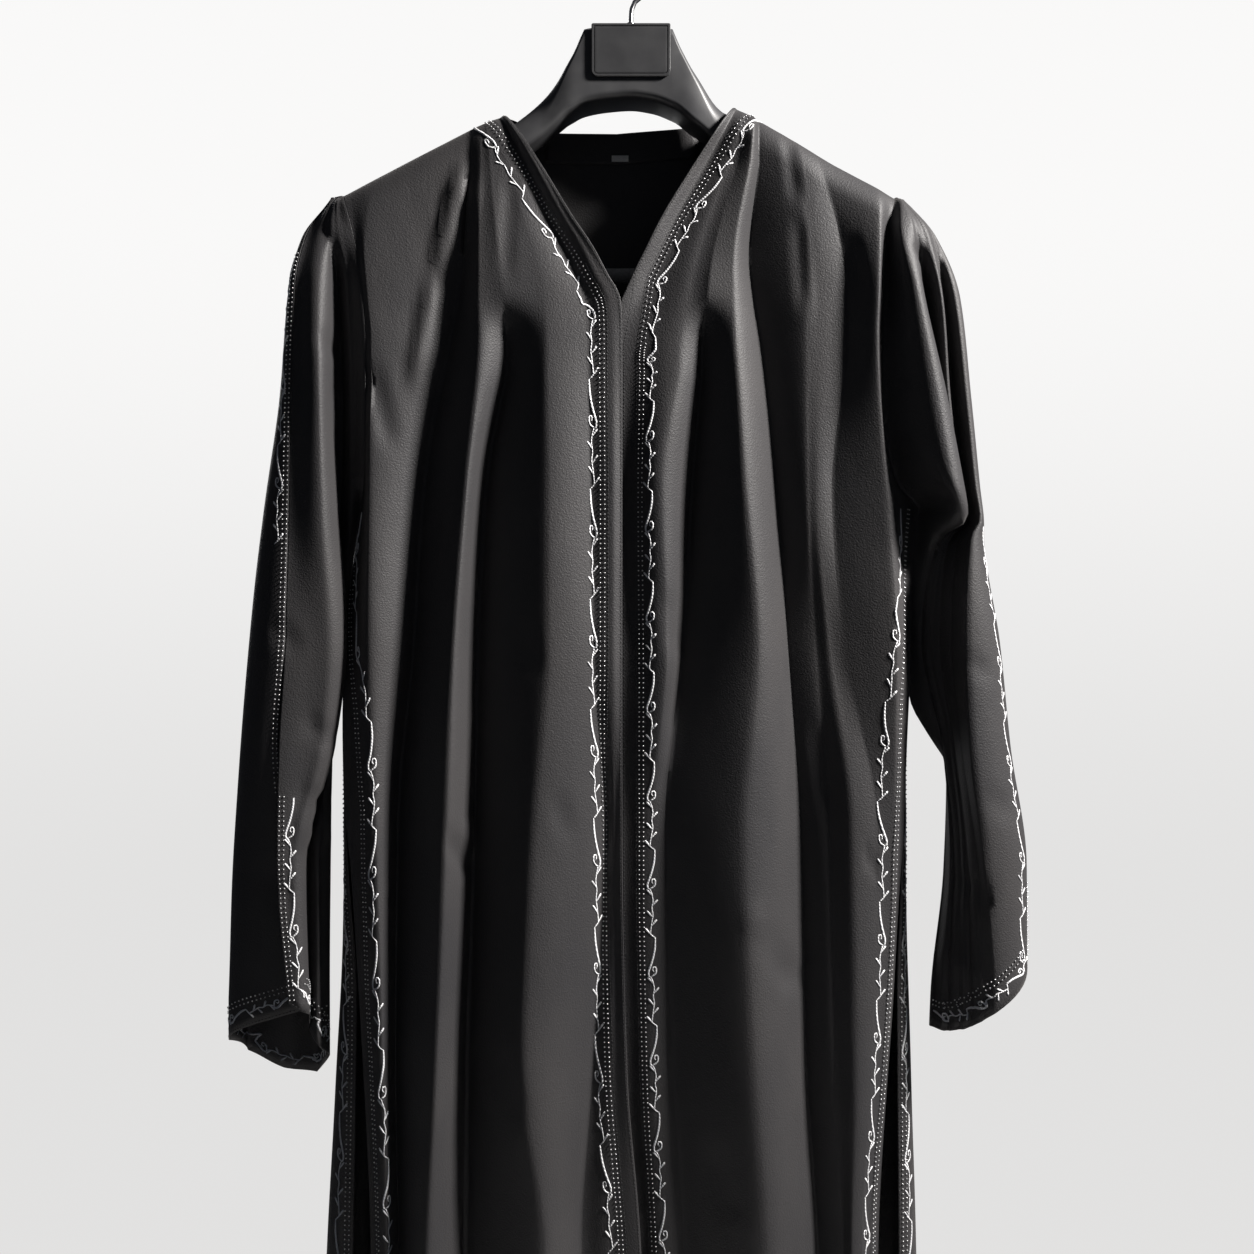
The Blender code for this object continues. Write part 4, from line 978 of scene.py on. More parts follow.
# %% [markdown]
# The label is a short piece of pale woven tape, turned under along its top and at both ends and
# left blank. Its rows follow that turn, from the hidden allowance over the fold and down the front.
# Its weave is a fine bump.

# %% Label
LABEL_WIDTH = 14
LABEL_HEIGHT = 5.2
LABEL_THICKNESS = 0.7
LABEL_CENTRE = -9
LABEL_TOP = -173.2
LABEL_COLUMNS = 13
LABEL_STEP = 2.2
LABEL_END_FOLD = 0.8
LABEL_FOLD_START = 0.42
LABEL_FOLD_SHARE = 0.08
LABEL_FOLD_DEPTH = 0.3
# How far behind the label's face and how far below its top each row lies
LABEL_TURN = ((1.2, 2.4), (1.2, 0.7), (0.9, 0.15), (0.5, 0), (0.12, 0.2), (0, 0.8), (0, 3),
              (0, LABEL_HEIGHT))

label_depth = (np.interp(LABEL_CENTRE, facing_grid[-1, :, 0], facing_grid[-1, :, 1])
               - LABEL_STEP)
label_points = []
for behind, down in LABEL_TURN:
    line = []
    for t in np.linspace(-0.5, 0.5, LABEL_COLUMNS):
        fold = LABEL_END_FOLD * max(0.0, abs(t) - LABEL_FOLD_START) / LABEL_FOLD_SHARE
        line.append((LABEL_CENTRE + LABEL_WIDTH * t,
                     label_depth + LABEL_FOLD_DEPTH * fold + behind, LABEL_TOP - down))
    label_points.append(line)
label_tape = new_material("pale label tape", (0.80, 0.78, 0.74), 0.8,
                          shades=((0.74, 0.72, 0.68), (0.86, 0.84, 0.80)),
                          clouds=(420, 3.0, (1, 1, 4)),
                          grain=(2200, 2.0, (1, 1, 0.3)), bump=(0.0002, 0.6))[0]
hang("label_tape", np.array(label_points), "label",
     LABEL_THICKNESS, label_tape)
print("label", LABEL_WIDTH, "by", LABEL_HEIGHT, "mm, blank")

# %% [markdown]
# ## Following an edge
#
# The vine and the beads run at fixed distances from a sewn edge, however the cloth folds. A sewer
# measures them along the cloth, so the helper does the same: the distance along the edge is
# walked on the grid's first column, and the distance inwards is walked along a row. Where the rows
# meet the edge on a slant, as at the V of the neck, both are corrected for that slant.

# %% Edge guide
EdgeGuide = namedtuple("EdgeGuide", "grid normal run reach slant")
SLANT_REACH = 20
STEEPEST_SLANT = 0.85


def edge_guide(grid, face):
    """Where things go along an edge. Column 0 of the grid is the edge and rows run inwards."""
    normal = grid_normals(grid, face)
    steps = np.linalg.norm(np.diff(grid[:, 0], axis=0), axis=1)
    run = np.concatenate([[0], np.cumsum(steps)])
    across = np.linalg.norm(np.diff(grid, axis=1), axis=2)
    reach = np.concatenate([np.zeros((len(grid), 1)), np.cumsum(across, axis=1)], axis=1)
    columns = np.arange(grid.shape[1])
    inward = []
    for row in range(len(grid)):
        column = np.interp(SLANT_REACH, reach[row], columns)
        inward.append([np.interp(column, columns, grid[row, :, axis]) for axis in range(3)])
    inward = unit(np.array(inward) - grid[:, 0])
    tangent = unit(np.gradient(grid[:, 0], axis=0))
    slant = np.clip((tangent * inward).sum(axis=1), -STEEPEST_SLANT, STEEPEST_SLANT)
    return EdgeGuide(grid, normal, run, reach, slant)


def on_cloth(guide, along, inwards):
    """Point and normal of the cloth at a distance along the edge and one inwards from it."""
    slant = np.interp(along, guide.run, guide.slant)
    upright = math.sqrt(1 - slant ** 2)
    row = np.interp(along - inwards * slant / upright, guide.run, np.arange(len(guide.run)))
    low = min(int(row), len(guide.run) - 2)
    share = row - low
    point, normal = np.zeros(3), np.zeros(3)
    for r, weight in ((low, 1 - share), (low + 1, share)):
        column = np.interp(inwards / upright, guide.reach[r], np.arange(guide.reach.shape[1]))
        c = min(int(column), guide.reach.shape[1] - 2)
        f = column - c
        point += weight * ((1 - f) * guide.grid[r, c] + f * guide.grid[r, c + 1])
        normal += weight * ((1 - f) * guide.normal[r, c] + f * guide.normal[r, c + 1])
    return point, normal / np.linalg.norm(normal)


def below(grid, height):
    """The part of a grid whose rows start at this height."""
    return grid[grid[:, 0, 2] <= height]


def low_edge_first(grid):
    """The grid turned so that its cuff or hem comes first and its rows run upwards."""
    return grid[::-1].transpose(1, 0, 2)


neck_and_front_left = edge_guide(front_left_grid[:, ::-1], FRONT)
neck_and_front_right = edge_guide(front_right_grid, FRONT)
print("left neck and front edge:", round(neck_and_front_left.run[-1]), "mm,",
      "right:", round(neck_and_front_right.run[-1]), "mm")

# %% [markdown]
# ## Thread and beads
#
# The vine is satin stitch: many turns of white thread over a thin core, so each line stands up as
# a small round ridge with a slanting rib. Curves with a bevel would need one object per stroke. A
# ring of points carried along each stroke, pressed a little flat, gives the same ridge in one
# joined mesh that is quick to build.

# %% Threads
THREAD_SIDES = 5
THREAD_FLATNESS = 0.62


class Heap:
    """Vertices and faces gathered from many small parts, to become one mesh."""

    def __init__(self):
        self.vertices, self.faces, self.count = [], [], 0

    def add(self, vertices, faces):
        self.vertices.append(np.asarray(vertices, float))
        self.faces += [tuple(i + self.count for i in face) for face in faces]
        self.count += len(vertices)

    def piece(self, name, finish, slot):
        return mesh_piece(name, np.concatenate(self.vertices), self.faces, finish)


def tube_faces(rings, sides):
    """The faces between rings of points that follow each other, without caps."""
    return [(k * sides + i, k * sides + (i + 1) % sides,
             (k + 1) * sides + (i + 1) % sides, (k + 1) * sides + i)
            for k in range(rings - 1) for i in range(sides)]


def cap_faces(rings, sides):
    """A cap on the first ring and one on the last."""
    return [tuple(range(sides))[::-1], tuple((rings - 1) * sides + i for i in range(sides))]


def add_thread(heap, points, normals, radii, sides=THREAD_SIDES):
    """A round thread along some points, lying on the cloth whose normals are given."""
    points, normals = np.asarray(points), np.asarray(normals)
    forward = unit(np.gradient(points, axis=0))
    sideways = unit(np.cross(forward, normals))
    turns = np.arange(sides) * 2 * math.pi / sides
    radii = np.asarray(radii)[:, None, None]
    rings = (points[:, None] + radii * (np.cos(turns)[None, :, None] * sideways[:, None]
             + THREAD_FLATNESS * np.sin(turns)[None, :, None] * normals[:, None]))
    heap.add(rings.reshape(-1, 3),
             tube_faces(len(points), sides) + cap_faces(len(points), sides))


print("a thread has", THREAD_SIDES, "sides")

# %% [markdown]
# Rayon thread is white with a soft gloss, and a slanting wave pattern as bump gives it the ribs of
# satin stitch. The beads are silver-lined glass. A fully metallic finish would mirror the dark
# cloth and turn them black, so theirs is half metallic.

# %% Thread and bead finishes
thread, shader, nodes, links = new_material(
    "white embroidery thread", (0.86, 0.86, 0.87), 0.40,
    shades=((0.76, 0.76, 0.79), (0.95, 0.95, 0.95)), clouds=(260, 3.0))
rib = nodes.new("ShaderNodeTexWave")
rib.wave_type, rib.bands_direction = "BANDS", "DIAGONAL"
rib.inputs["Scale"].default_value = 230
rib.inputs["Distortion"].default_value = 2.0
rib.inputs["Detail"].default_value = 1.0
place = nodes.new("ShaderNodeTexCoord")
links.new(place.outputs["Object"], rib.inputs["Vector"])
links.new(bump_node(nodes, links, rib.outputs["Fac"], 0.0003, 0.6), shader.inputs["Normal"])
shader.inputs["Sheen Weight"].default_value = 0.3

bead_silver = new_material("silver beads", (0.70, 0.70, 0.72), 0.3, 0.5,
                           shades=((0.52, 0.52, 0.54), (0.82, 0.82, 0.82)), clouds=(180, 2.0))[0]
print("materials:", thread.name + ",", bead_silver.name)

# %% [markdown]
# ## One repeat of the vine
#
# The vine is a simple running pattern: a thick stem that swings across, a curled leaf where it
# ends, then a thin stem with small leaves to either side, and a step back to where the next thick
# stem starts. It is drawn here as strokes. Each is a list of places: how far down the edge, how far
# across from the vine's middle and how thick, as a radius, all in millimetres for a repeat of
# 88 mm. Positive across is away from the edge.

# %% Vine strokes
VINE_REPEAT = 88.0
VINE = [
    # Thick stem
    ((-2, 3.0, 0.5), (2, 2.9, 0.8), (8, 2.6, 0.98), (15, 1.6, 1.02), (22, 0.1, 1.02),
     (28, -1.6, 1.0), (33, -2.8, 0.9), (36.2, -2.6, 0.8), (37.6, -1.1, 0.65)),
    # Curled leaf
    ((36.9, -0.9, 0.6), (35.6, 1.5, 0.7), (32.6, 3.3, 0.75), (29, 3.4, 0.7), (27.2, 2.1, 0.62),
     (28, 0.8, 0.58), (30.4, 0.7, 0.54), (32, 1.6, 0.45)),
    # Thin stem
    ((37.5, -0.8, 0.55), (42, 0.6, 0.55), (49, 1.5, 0.55), (56, 0.6, 0.55), (63, 1.4, 0.55),
     (70, 0.5, 0.55), (77, -0.3, 0.55), (82, -0.7, 0.6), (84.5, 1.2, 0.55), (86, 2.9, 0.5)),
]
# Where the small leaves spring from the thin stem, and to which side
LEAVES = ((44.0, 0.8, -1), (54.5, 0.8, 1), (65.5, 0.9, -1), (74.5, 0.1, 1), (83.0, -0.4, -1))
LEAF = ((0.0, 0.0, 0.42), (-1.7, 1.1, 0.58), (-3.6, 2.4, 0.82), (-5.2, 3.6, 0.9),
        (-6.3, 4.4, 0.55))
VINE += [[(down + d, across + side * a, r) for d, a, r in LEAF] for down, across, side in LEAVES]
STROKE_STEP = 1.6


def fine_stroke(points):
    """A stroke's points at even steps along a smooth line."""
    points = np.array(points, float)
    steps = np.linalg.norm(np.diff(points[:, :2], axis=0), axis=1)
    length = np.concatenate([[0], np.cumsum(steps)])
    count = max(3, int(round(length[-1] / STROKE_STEP)) + 1)
    at = np.linspace(0, length[-1], count)
    return np.stack([smooth_between(length, points[:, k], at) for k in range(3)], axis=1)


vine_strokes = [fine_stroke(points) for points in VINE]
print("one repeat:", len(VINE), "strokes,", sum(len(s) for s in vine_strokes), "points")

# %% [markdown]
# ## Trimming the edges
#
# Now every trimmed edge gets its rows: a stitch line, two rows of beads and the vine. A bead is a
# solid of twenty triangles. A finer ball would look no rounder at this size, and there are
# thousands of them.

# %% A bead
GOLDEN = (1 + math.sqrt(5)) / 2
SIDE_SLACK = 1.01
BEAD_CORNERS = unit(np.array([place[turn:] + place[:turn] for turn in range(3)
                              for place in ((0, a, b * GOLDEN) for a in (-1, 1) for b in (-1, 1))],
                             float))


def bead_faces():
    """The twenty triangles between the twelve corners of a bead."""
    side = min(math.dist(BEAD_CORNERS[0], corner) for corner in BEAD_CORNERS[1:])
    side *= SIDE_SLACK
    faces = []
    for trio in combinations(range(len(BEAD_CORNERS)), 3):
        a, b, c = BEAD_CORNERS[list(trio)]
        if max(math.dist(a, b), math.dist(b, c), math.dist(a, c)) < side:
            outwards = np.dot(np.cross(b - a, c - a), a) > 0
            faces.append(trio if outwards else (trio[0], trio[2], trio[1]))
    return faces


BEAD_FACES = bead_faces()
print("a bead has", len(BEAD_FACES), "faces")

# %% [markdown]
# Each row is laid by walking along the edge guide in even steps. A step that would fall outside the
# cloth is left out, so the rows run out of a seam as sewn ones do.

# %% Rows of a trim
BEAD_PITCH = 3.9
BEAD_RADIUS = 0.66
BEAD_LIFT = 0.95
THREAD_LIFT = 0.5
STITCH_PITCH = 3.1
STITCH_LENGTH = 2.3
STITCH_RADIUS = 0.2
STITCH_SIDES = 4
SHORTEST_STROKE = 3


def add_beads(heap, guide, start, end, inwards, shift):
    """A row of beads at one distance from an edge."""
    for along in np.arange(start, end, BEAD_PITCH):
        depth = inwards + shift(along)
        if depth < BEAD_RADIUS:
            continue
        point, normal = on_cloth(guide, along, depth)
        heap.add(point + normal * BEAD_LIFT + BEAD_CORNERS * BEAD_RADIUS, BEAD_FACES)


def add_stitches(heap, guide, start, end, inwards, shift):
    """A line of machine stitches at one distance from an edge."""
    for along in np.arange(start, end - STITCH_LENGTH, STITCH_PITCH):
        depth = inwards + shift(along)
        if depth < STITCH_RADIUS:
            continue
        ends = [on_cloth(guide, along + step, depth) for step in (0, STITCH_LENGTH)]
        points = [point + normal * THREAD_LIFT for point, normal in ends]
        add_thread(heap, points, [normal for _, normal in ends], [STITCH_RADIUS] * 2,
                   STITCH_SIDES)


def add_vine(heap, guide, start, end, inwards, shift, repeat):
    """Repeats of the vine at one distance from an edge."""
    size = repeat / VINE_REPEAT
    for first in np.arange(start, end, repeat):
        for stroke in vine_strokes:
            points, normals, radii = [], [], []
            for down, across, radius in stroke:
                along = first + down * size
                depth = inwards + shift(along) + across
                if start <= along <= end and depth > radius:
                    point, normal = on_cloth(guide, along, depth)
                    points.append(point + normal * THREAD_LIFT)
                    normals.append(normal)
                    radii.append(radius)
            if len(points) >= SHORTEST_STROKE:
                add_thread(heap, points, normals, radii)


print("beads every", BEAD_PITCH, "mm, stitches every", STITCH_PITCH, "mm")

# %% [markdown]
# The table of trims says where each run starts and ends along its edge, and how far in each row
# lies, in millimetres. The two lists at the end of a trim say how much further in its rows and its
# vine lie at some places along the edge. On the right front they move in below the neck, because
# that edge goes under the left one. At the side seams they drift, because the seam was sewn after
# the trim and cuts across it.

# %% Trims
UNDERLAP = ((0, 0), (178, 0), (200, 7), (225, 15), (262, 21.7), (640, 21.7), (900, 20), (1600, 20))
LEFT_SIDE_ROWS = ((0, -19), (37, -17), (75, -13), (130, -8), (168, -2), (248, 3), (297, -2),
                  (391, -6), (1120, -7))
LEFT_SIDE_VINE = ((0, -24), (37, -22), (75, -13), (114, -7), (147, 0), (204, 5), (248, 5),
                  (300, -1), (350, -3), (1120, -3.5))
RIGHT_SIDE_ROWS = ((0, -4), (17, -1.5), (90, 1), (168, 1), (262, -2), (325, -3), (515, -4.5),
                   (590, -7), (1120, -7))
RIGHT_SIDE_VINE = ((0, 4), (30, 6), (60, 7), (92, 10), (143, 4.5), (181, 6), (243, 5), (280, 0),
                   (412, -2), (481, -3), (594, -6.5), (1120, -6.5))
BACK_ROWS_IN = ((0, -11), (1120, -11))
BACK_LEFT_VINE = ((0, -18), (350, -15), (600, -10), (1120, -10))
BACK_RIGHT_VINE = ((0, -24), (150, -22), (300, -18), (450, -17), (590, -14), (1120, -12))
NONE = ((0, 0), (1600, 0))
Trim = namedtuple("Trim", "panel guide start end stitches beads vine repeat rows_in vine_in",
                  defaults=(80, NONE, NONE))
NECK_VINE = ((0, 0), (20, 3), (175, 3), (225, 0), (1600, 0))

arm_left_front = edge_guide(left_front_grid, FRONT)
arm_left_back = edge_guide(left_back_grid, BACK)
arm_right_front = edge_guide(right_front_grid[:, ::-1], FRONT)
arm_right_back = edge_guide(right_back_grid[:, ::-1], BACK)

# Stitch lines and bead rows of a panel's edge and of a cuff, each with its vine's distance
OPEN_EDGE = ((1.6, 12.0), (14.6, 18.2), 24)
SEAMED_EDGE = ((12.0,), (14.6, 18.2), 24)
CUFF_EDGE = ((1.6,), (18.4, 22.0), 10.5, 44)
TRIMS = [
    Trim("left_front", neck_and_front_left, 3, None, *OPEN_EDGE, 88, NONE, NECK_VINE),
    Trim("left_front", edge_guide(below(front_left_grid, ARMHOLE_BOTTOM), FRONT),
         2, None, *SEAMED_EDGE, 88, LEFT_SIDE_ROWS, LEFT_SIDE_VINE),
    Trim("right_front", neck_and_front_right, 3, None, *OPEN_EDGE, 72, UNDERLAP, UNDERLAP),
    Trim("right_front", edge_guide(below(front_right_grid[:, ::-1], ARMHOLE_BOTTOM), FRONT),
         2, None, *SEAMED_EDGE, 80, RIGHT_SIDE_ROWS, RIGHT_SIDE_VINE),
    Trim("back", edge_guide(below(back_grid, ARMHOLE_BOTTOM), BACK),
         150, None, *SEAMED_EDGE, 88, BACK_ROWS_IN, BACK_LEFT_VINE),
    Trim("back", edge_guide(below(back_grid[:, ::-1], ARMHOLE_BOTTOM), BACK),
         150, None, *SEAMED_EDGE, 88, BACK_ROWS_IN, BACK_RIGHT_VINE),
    Trim("left_sleeve_front", arm_left_front, 500, None, (), (1.6, 5.0), 9.5),
    Trim("left_sleeve_back", arm_left_back, 60, 300, (), (), 8.6),
    Trim("left_sleeve_back", arm_left_back, 60, 500, (), (1.3, 4.6), None),
    Trim("left_sleeve_back", edge_guide(low_edge_first(left_back_grid), FRONT), 60, None,
         (), (), 8.5, 60),
    Trim("right_sleeve_front", arm_right_front, 285, None, (), (), 18),
    Trim("right_sleeve_front", arm_right_front, 575, None, (), (6.4, 10.0), None),
    Trim("right_sleeve_back", arm_right_back, 12, None, (), (2.4, 6.0), 11.0),
]
TRIMS += [Trim(panel, edge_guide(low_edge_first(grid), face), 2, None, *CUFF_EDGE)
          for panel, grid, face in (("left_sleeve_front", left_front_grid, FRONT),
                                    ("left_sleeve_back", left_back_grid, BACK),
                                    ("right_sleeve_front", right_front_grid, FRONT),
                                    ("right_sleeve_back", right_back_grid, BACK))]
TRIM_END = 2


def read_along(table):
    """A table of places along an edge as a function."""
    places, amounts = zip(*table)
    return lambda along: float(np.interp(along, places, amounts))


vines, beads, stitches = {}, {}, {}
for trim in TRIMS:
    for heaps in (vines, beads, stitches):
        heaps.setdefault(trim.panel, Heap())
    end = trim.end or trim.guide.run[-1] - TRIM_END
    rows_in, vine_in = read_along(trim.rows_in), read_along(trim.vine_in)
    for inwards in trim.stitches:
        add_stitches(stitches[trim.panel], trim.guide, trim.start, end, inwards, rows_in)
    for inwards in trim.beads:
        add_beads(beads[trim.panel], trim.guide, trim.start, end, inwards, rows_in)
    if trim.vine:
        add_vine(vines[trim.panel], trim.guide, trim.start, end, trim.vine, vine_in, trim.repeat)
print("trimmed edges:", len(TRIMS))

# %% [markdown]
# The hems are turned up and stitched plainly, so a single line of black stitches runs along the
# bottom of each panel.

# %% Hem stitches
HEM_STITCH_HEIGHT = 20
HEM_STITCH_END = 1

for panel, grid, face in (("left_front", front_left_grid, FRONT),
                          ("right_front", front_right_grid, FRONT), ("back", back_grid, BACK)):
    hem = edge_guide(low_edge_first(grid), face)
    add_stitches(stitches[panel], hem, HEM_STITCH_END, hem.run[-1] - HEM_STITCH_END,
                 HEM_STITCH_HEIGHT, read_along(NONE))
print("hems stitched at", HEM_STITCH_HEIGHT, "mm")

# %% [markdown]
# Each panel's beads are one joined mesh, and so are its vine and its stitches. Thousands of
# separate beads would be slow to handle and are never moved one by one.

# %% Trim pieces
black_thread = new_material("black sewing thread", (0.020, 0.020, 0.022), 0.6,
                            shades=((0.014, 0.014, 0.016), (0.028, 0.028, 0.030)),
                            clouds=(500, 2.0))[0]
for panel in vines:
    vines[panel].piece(panel + "_vine", thread, "crepe")
    beads[panel].piece(panel + "_beads", bead_silver, "crepe")
    if stitches[panel].count:
        stitches[panel].piece(panel + "_stitches", black_thread, "crepe")
    print(panel, beads[panel].count // len(BEAD_CORNERS), "beads,", vines[panel].count,
          "vine points")

# %% [markdown]
# ## The hanger
#
# The hanger is one moulding with wide rounded shoulders and a high arched neck. Joining rings of
# points section by section, from the left tip to the right tip, follows that form closely: at the
# neck a section is a flat-sided bar with small corners, and on the shoulders its top is a full
# round that the cloth lies on.

# %% Hanger sections
HANGER_CLEARANCE = 1.6
WING_HEIGHT = 30
WING_TIP_HEIGHT = 22
WING_HALF_DEPTH = 16
NECK_HALF_DEPTH = 20
WING_START = 45
WING_BLEND = 30
WING_ROUND = 22
WING_SPREAD = 8
WING_SECTIONS = 18
WING_CROWDING = 0.8
TOP_CORNER = 8
TOP_SHARE = 0.7
LOW_CORNER = 6
LOW_SHARE = 0.25
TOP_TURNS = 9
LOW_TURNS = 6
HANGER_TIP_INSET = 6
HANGER_STEP = 3.0
# Across, top and bottom of the neck's sections
HANGER_NECK = (
    (-104, -153.5, -190), (-98, -156, -186), (-90, -151, -181), (-76, -139.5, -171),
    (-60, -122.5, -158), (-52, -110, -151), (-47, -102, -148), (-42, -91, -145),
    (-38, -82, -143.5), (-20, -80, -140), (0, -80, -138.5), (18, -80, -141), (34, -82, -147),
    (38, -92, -149), (43, -102, -153), (49, -113, -158), (56, -122.5, -163), (70, -141, -174),
    (78, -147, -180), (85, -149, -184),
)


def hanger_ring(across, top, bottom):
    """One section of the hanger, as a ring of points."""
    on_wing = float(ease((abs(across) - WING_START) / WING_BLEND))
    half = NECK_HALF_DEPTH + (WING_HALF_DEPTH - NECK_HALF_DEPTH) * on_wing
    corner_depth = TOP_CORNER + (half - TOP_CORNER) * on_wing
    corner_height = min(TOP_CORNER + (WING_ROUND - TOP_CORNER) * on_wing,
                        TOP_SHARE * (top - bottom))
    low = min(LOW_CORNER, LOW_SHARE * (top - bottom))
    over = np.linspace(0, math.pi / 2, TOP_TURNS)
    under = np.linspace(math.pi / 2, 0, LOW_TURNS)
    front = [(across, half - corner_depth + corner_depth * math.cos(t),
              top - corner_height + corner_height * math.sin(t)) for t in over]
    front = ([(across, half - low + low * math.cos(t), bottom + low - low * math.sin(t))
              for t in under] + front)
    return front + [(x, -y, z) for x, y, z in front[::-1]]


def wing(ridge):
    """Across, top and bottom of the hanger's sections under one shoulder of the robe."""
    neck_x, tip_x = ridge[0][0], ridge[-1][0]
    tip_x -= math.copysign(HANGER_TIP_INSET, tip_x)
    sections = []
    for share in np.linspace(0, 1, WING_SECTIONS + 1)[1:] ** WING_CROWDING:
        x = neck_x + share * (tip_x - neck_x)
        top = float(shoulder_height(ridge, x)) - HANGER_CLEARANCE
        height = (WING_HEIGHT + WING_SPREAD * (1 - share)
                  + (WING_TIP_HEIGHT - WING_HEIGHT) * share ** 2)
        sections.append((x, top, top - height))
    return sections


across = [section[0] for section in HANGER_NECK]
fine = np.arange(across[0], across[-1] + 0.1, HANGER_STEP)
tops = smooth_between(across, [section[1] for section in HANGER_NECK], fine)
bottoms = smooth_between(across, [section[2] for section in HANGER_NECK], fine)
neck = list(zip(fine, tops, bottoms))
sections = wing(SHOULDER_LEFT)[::-1] + neck + wing(SHOULDER_RIGHT)
rings = [hanger_ring(*section) for section in sections]
ring = len(rings[0])
print("hanger:", len(rings), "sections of", ring, "points")

# %% [markdown]
# The rings become one closed skin. Its only sharp edges are those round the two tips, and a small
# bevel softens them as a mould would. The plastic has a fine grain, as if sand-blasted.

# %% Hanger body
HANGER_BEVEL = 2.5
HANGER_BEVEL_STEPS = 3
HANGER_BEVEL_ANGLE = 60


def moulded_plastic(name, dark, light, roughness):
    """Moulded plastic with a fine sand-blasted grain."""
    return new_material(name, light, roughness, shades=(dark, light), clouds=(45, 3.0),
                        grain=(1300, 2.0), bump=(0.00012, 0.4))[0]


hanger_plastic = moulded_plastic("dark grey hanger plastic", (0.050, 0.050, 0.053),
                                 (0.068, 0.068, 0.070), 0.42)
hanger = mesh_piece("moulded_hanger", [p for points in rings for p in points],
                    tube_faces(len(rings), ring) + cap_faces(len(rings), ring),
                    hanger_plastic)
hanger_edges = hanger.modifiers.new("soft tips", "BEVEL")
hanger_edges.width = HANGER_BEVEL * MM
hanger_edges.segments = HANGER_BEVEL_STEPS
hanger_edges.limit_method = "ANGLE"
hanger_edges.angle_limit = math.radians(HANGER_BEVEL_ANGLE)
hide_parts("hanger_body")
print("hanger skin:", len(hanger.data.polygons), "faces")

# %% [markdown]
# The plate on the hanger's neck is left bare. Its outline is a rectangle with two rounded lower
# corners. A fine groove runs round it just inside the edge, which shows where the plate is let into
# its frame. The outline is repeated in rings that lie further and further in, at the heights of the
# rim, the groove and the face.

# %% Plate
PLATE_WIDTH = 64
PLATE_HEIGHT = 43
PLATE_CORNER = 5
PLATE_TOP_CORNER = 1.5
PLATE_LEAST_CORNER = 0.4
PLATE_CORNER_POINTS = 7
PLATE_TOP = -80.5
PLATE_CENTRE = PLATE_TOP - PLATE_HEIGHT / 2
PLATE_GAP = 0.3
# How far in each ring lies, and how far in front of the neck
PLATE_RINGS = ((0, 0.0), (0, 1.9), (0.5, 2.4), (1.9, 2.4), (2.1, 1.9), (2.6, 1.9), (2.8, 2.3),
               (4.0, 2.4))


def plate_outline(inset):
    """The plate's outline, offset inwards."""
    half_w, half_h = PLATE_WIDTH / 2 - inset, PLATE_HEIGHT / 2 - inset
    points = []
    for side_x, side_z, radius, start in (
            (1, 1, PLATE_TOP_CORNER, 0), (-1, 1, PLATE_TOP_CORNER, 90),
            (-1, -1, PLATE_CORNER, 180), (1, -1, PLATE_CORNER, 270)):
        r = max(radius - inset, PLATE_LEAST_CORNER)
        for turn in np.radians(start + np.linspace(0, 90, PLATE_CORNER_POINTS)):
            points.append((side_x * (half_w - r) + r * math.cos(turn),
                           side_z * (half_h - r) + r * math.sin(turn)))
    return points


plate_points = [(x, -(NECK_HALF_DEPTH + PLATE_GAP + height), PLATE_CENTRE + z)
                for inset, height in PLATE_RINGS for x, z in plate_outline(inset)]
plate_ring = len(plate_outline(0))
plate_faces = (tube_faces(len(PLATE_RINGS), plate_ring)
               + cap_faces(len(PLATE_RINGS), plate_ring))
plate_plastic = moulded_plastic("dark plate plastic", (0.040, 0.040, 0.042),
                                (0.052, 0.052, 0.054), 0.33)
plate = mesh_piece("bare_plate", plate_points, plate_faces, plate_plastic)
plate.data.shade_flat()
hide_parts("hanger_plate")
print("plate", PLATE_WIDTH, "by", PLATE_HEIGHT, "mm, bare")

# %% [markdown]
# The hook is a steel wire bent round a rail, and its foot stands in a short turned ferrule. A curve
# with a bevel is the right tool here: the wire keeps its thickness wherever the path goes. The
# ferrule is a profile turned round the wire.

# %% Hook
HOOK_WIRE = 4.0
HOOK_INNER_RADIUS = 24.0
HOOK_START_ANGLE = -66
HOOK_END_ANGLE = 205
HOOK_POINTS = 60
HOOK_FOOT = -79.2
HOOK_STEM = ((0, 0, -66), (0.6, 0, -60), (3.2, 0, -54))
# The ferrule's profile: radius and height
FERRULE = ((0, -80.6), (5.6, -80.6), (5.6, -79.4), (4.9, -78.6), (4.9, -76.2), (4.3, -75.6),
           (4.3, -74.8), (3.6, -74.0), (3.6, -72.2), (2.9, -71.2), (2.1, -70.8), (0, -70.8))
FERRULE_SIDES = 28
ROD_RESOLUTION = 5


def arc(centre, radius, start, end, count):
    """Points on an arc in the XZ plane, angles in degrees from +X towards +Z."""
    return [(centre[0] + radius * math.cos(a), 0.0, centre[1] + radius * math.sin(a))
            for a in np.radians(np.linspace(start, end, count))]


def rod(name, route, radius, finish):
    """A round bar along some points."""
    curve = bpy.data.curves.new(name, "CURVE")
    curve.dimensions = "3D"
    curve.bevel_depth = radius * MM
    curve.bevel_resolution = ROD_RESOLUTION
    curve.use_fill_caps = True
    curve.materials.append(finish)
    spline = curve.splines.new("POLY")
    spline.points.add(len(route) - 1)
    for point, place in zip(spline.points, route):
        point.co = (*[v * MM for v in place], 1)
    spline.use_smooth = True
    piece = bpy.data.objects.new(name, curve)
    scene.collection.objects.link(piece)
    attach(piece, ROOT)
    return piece


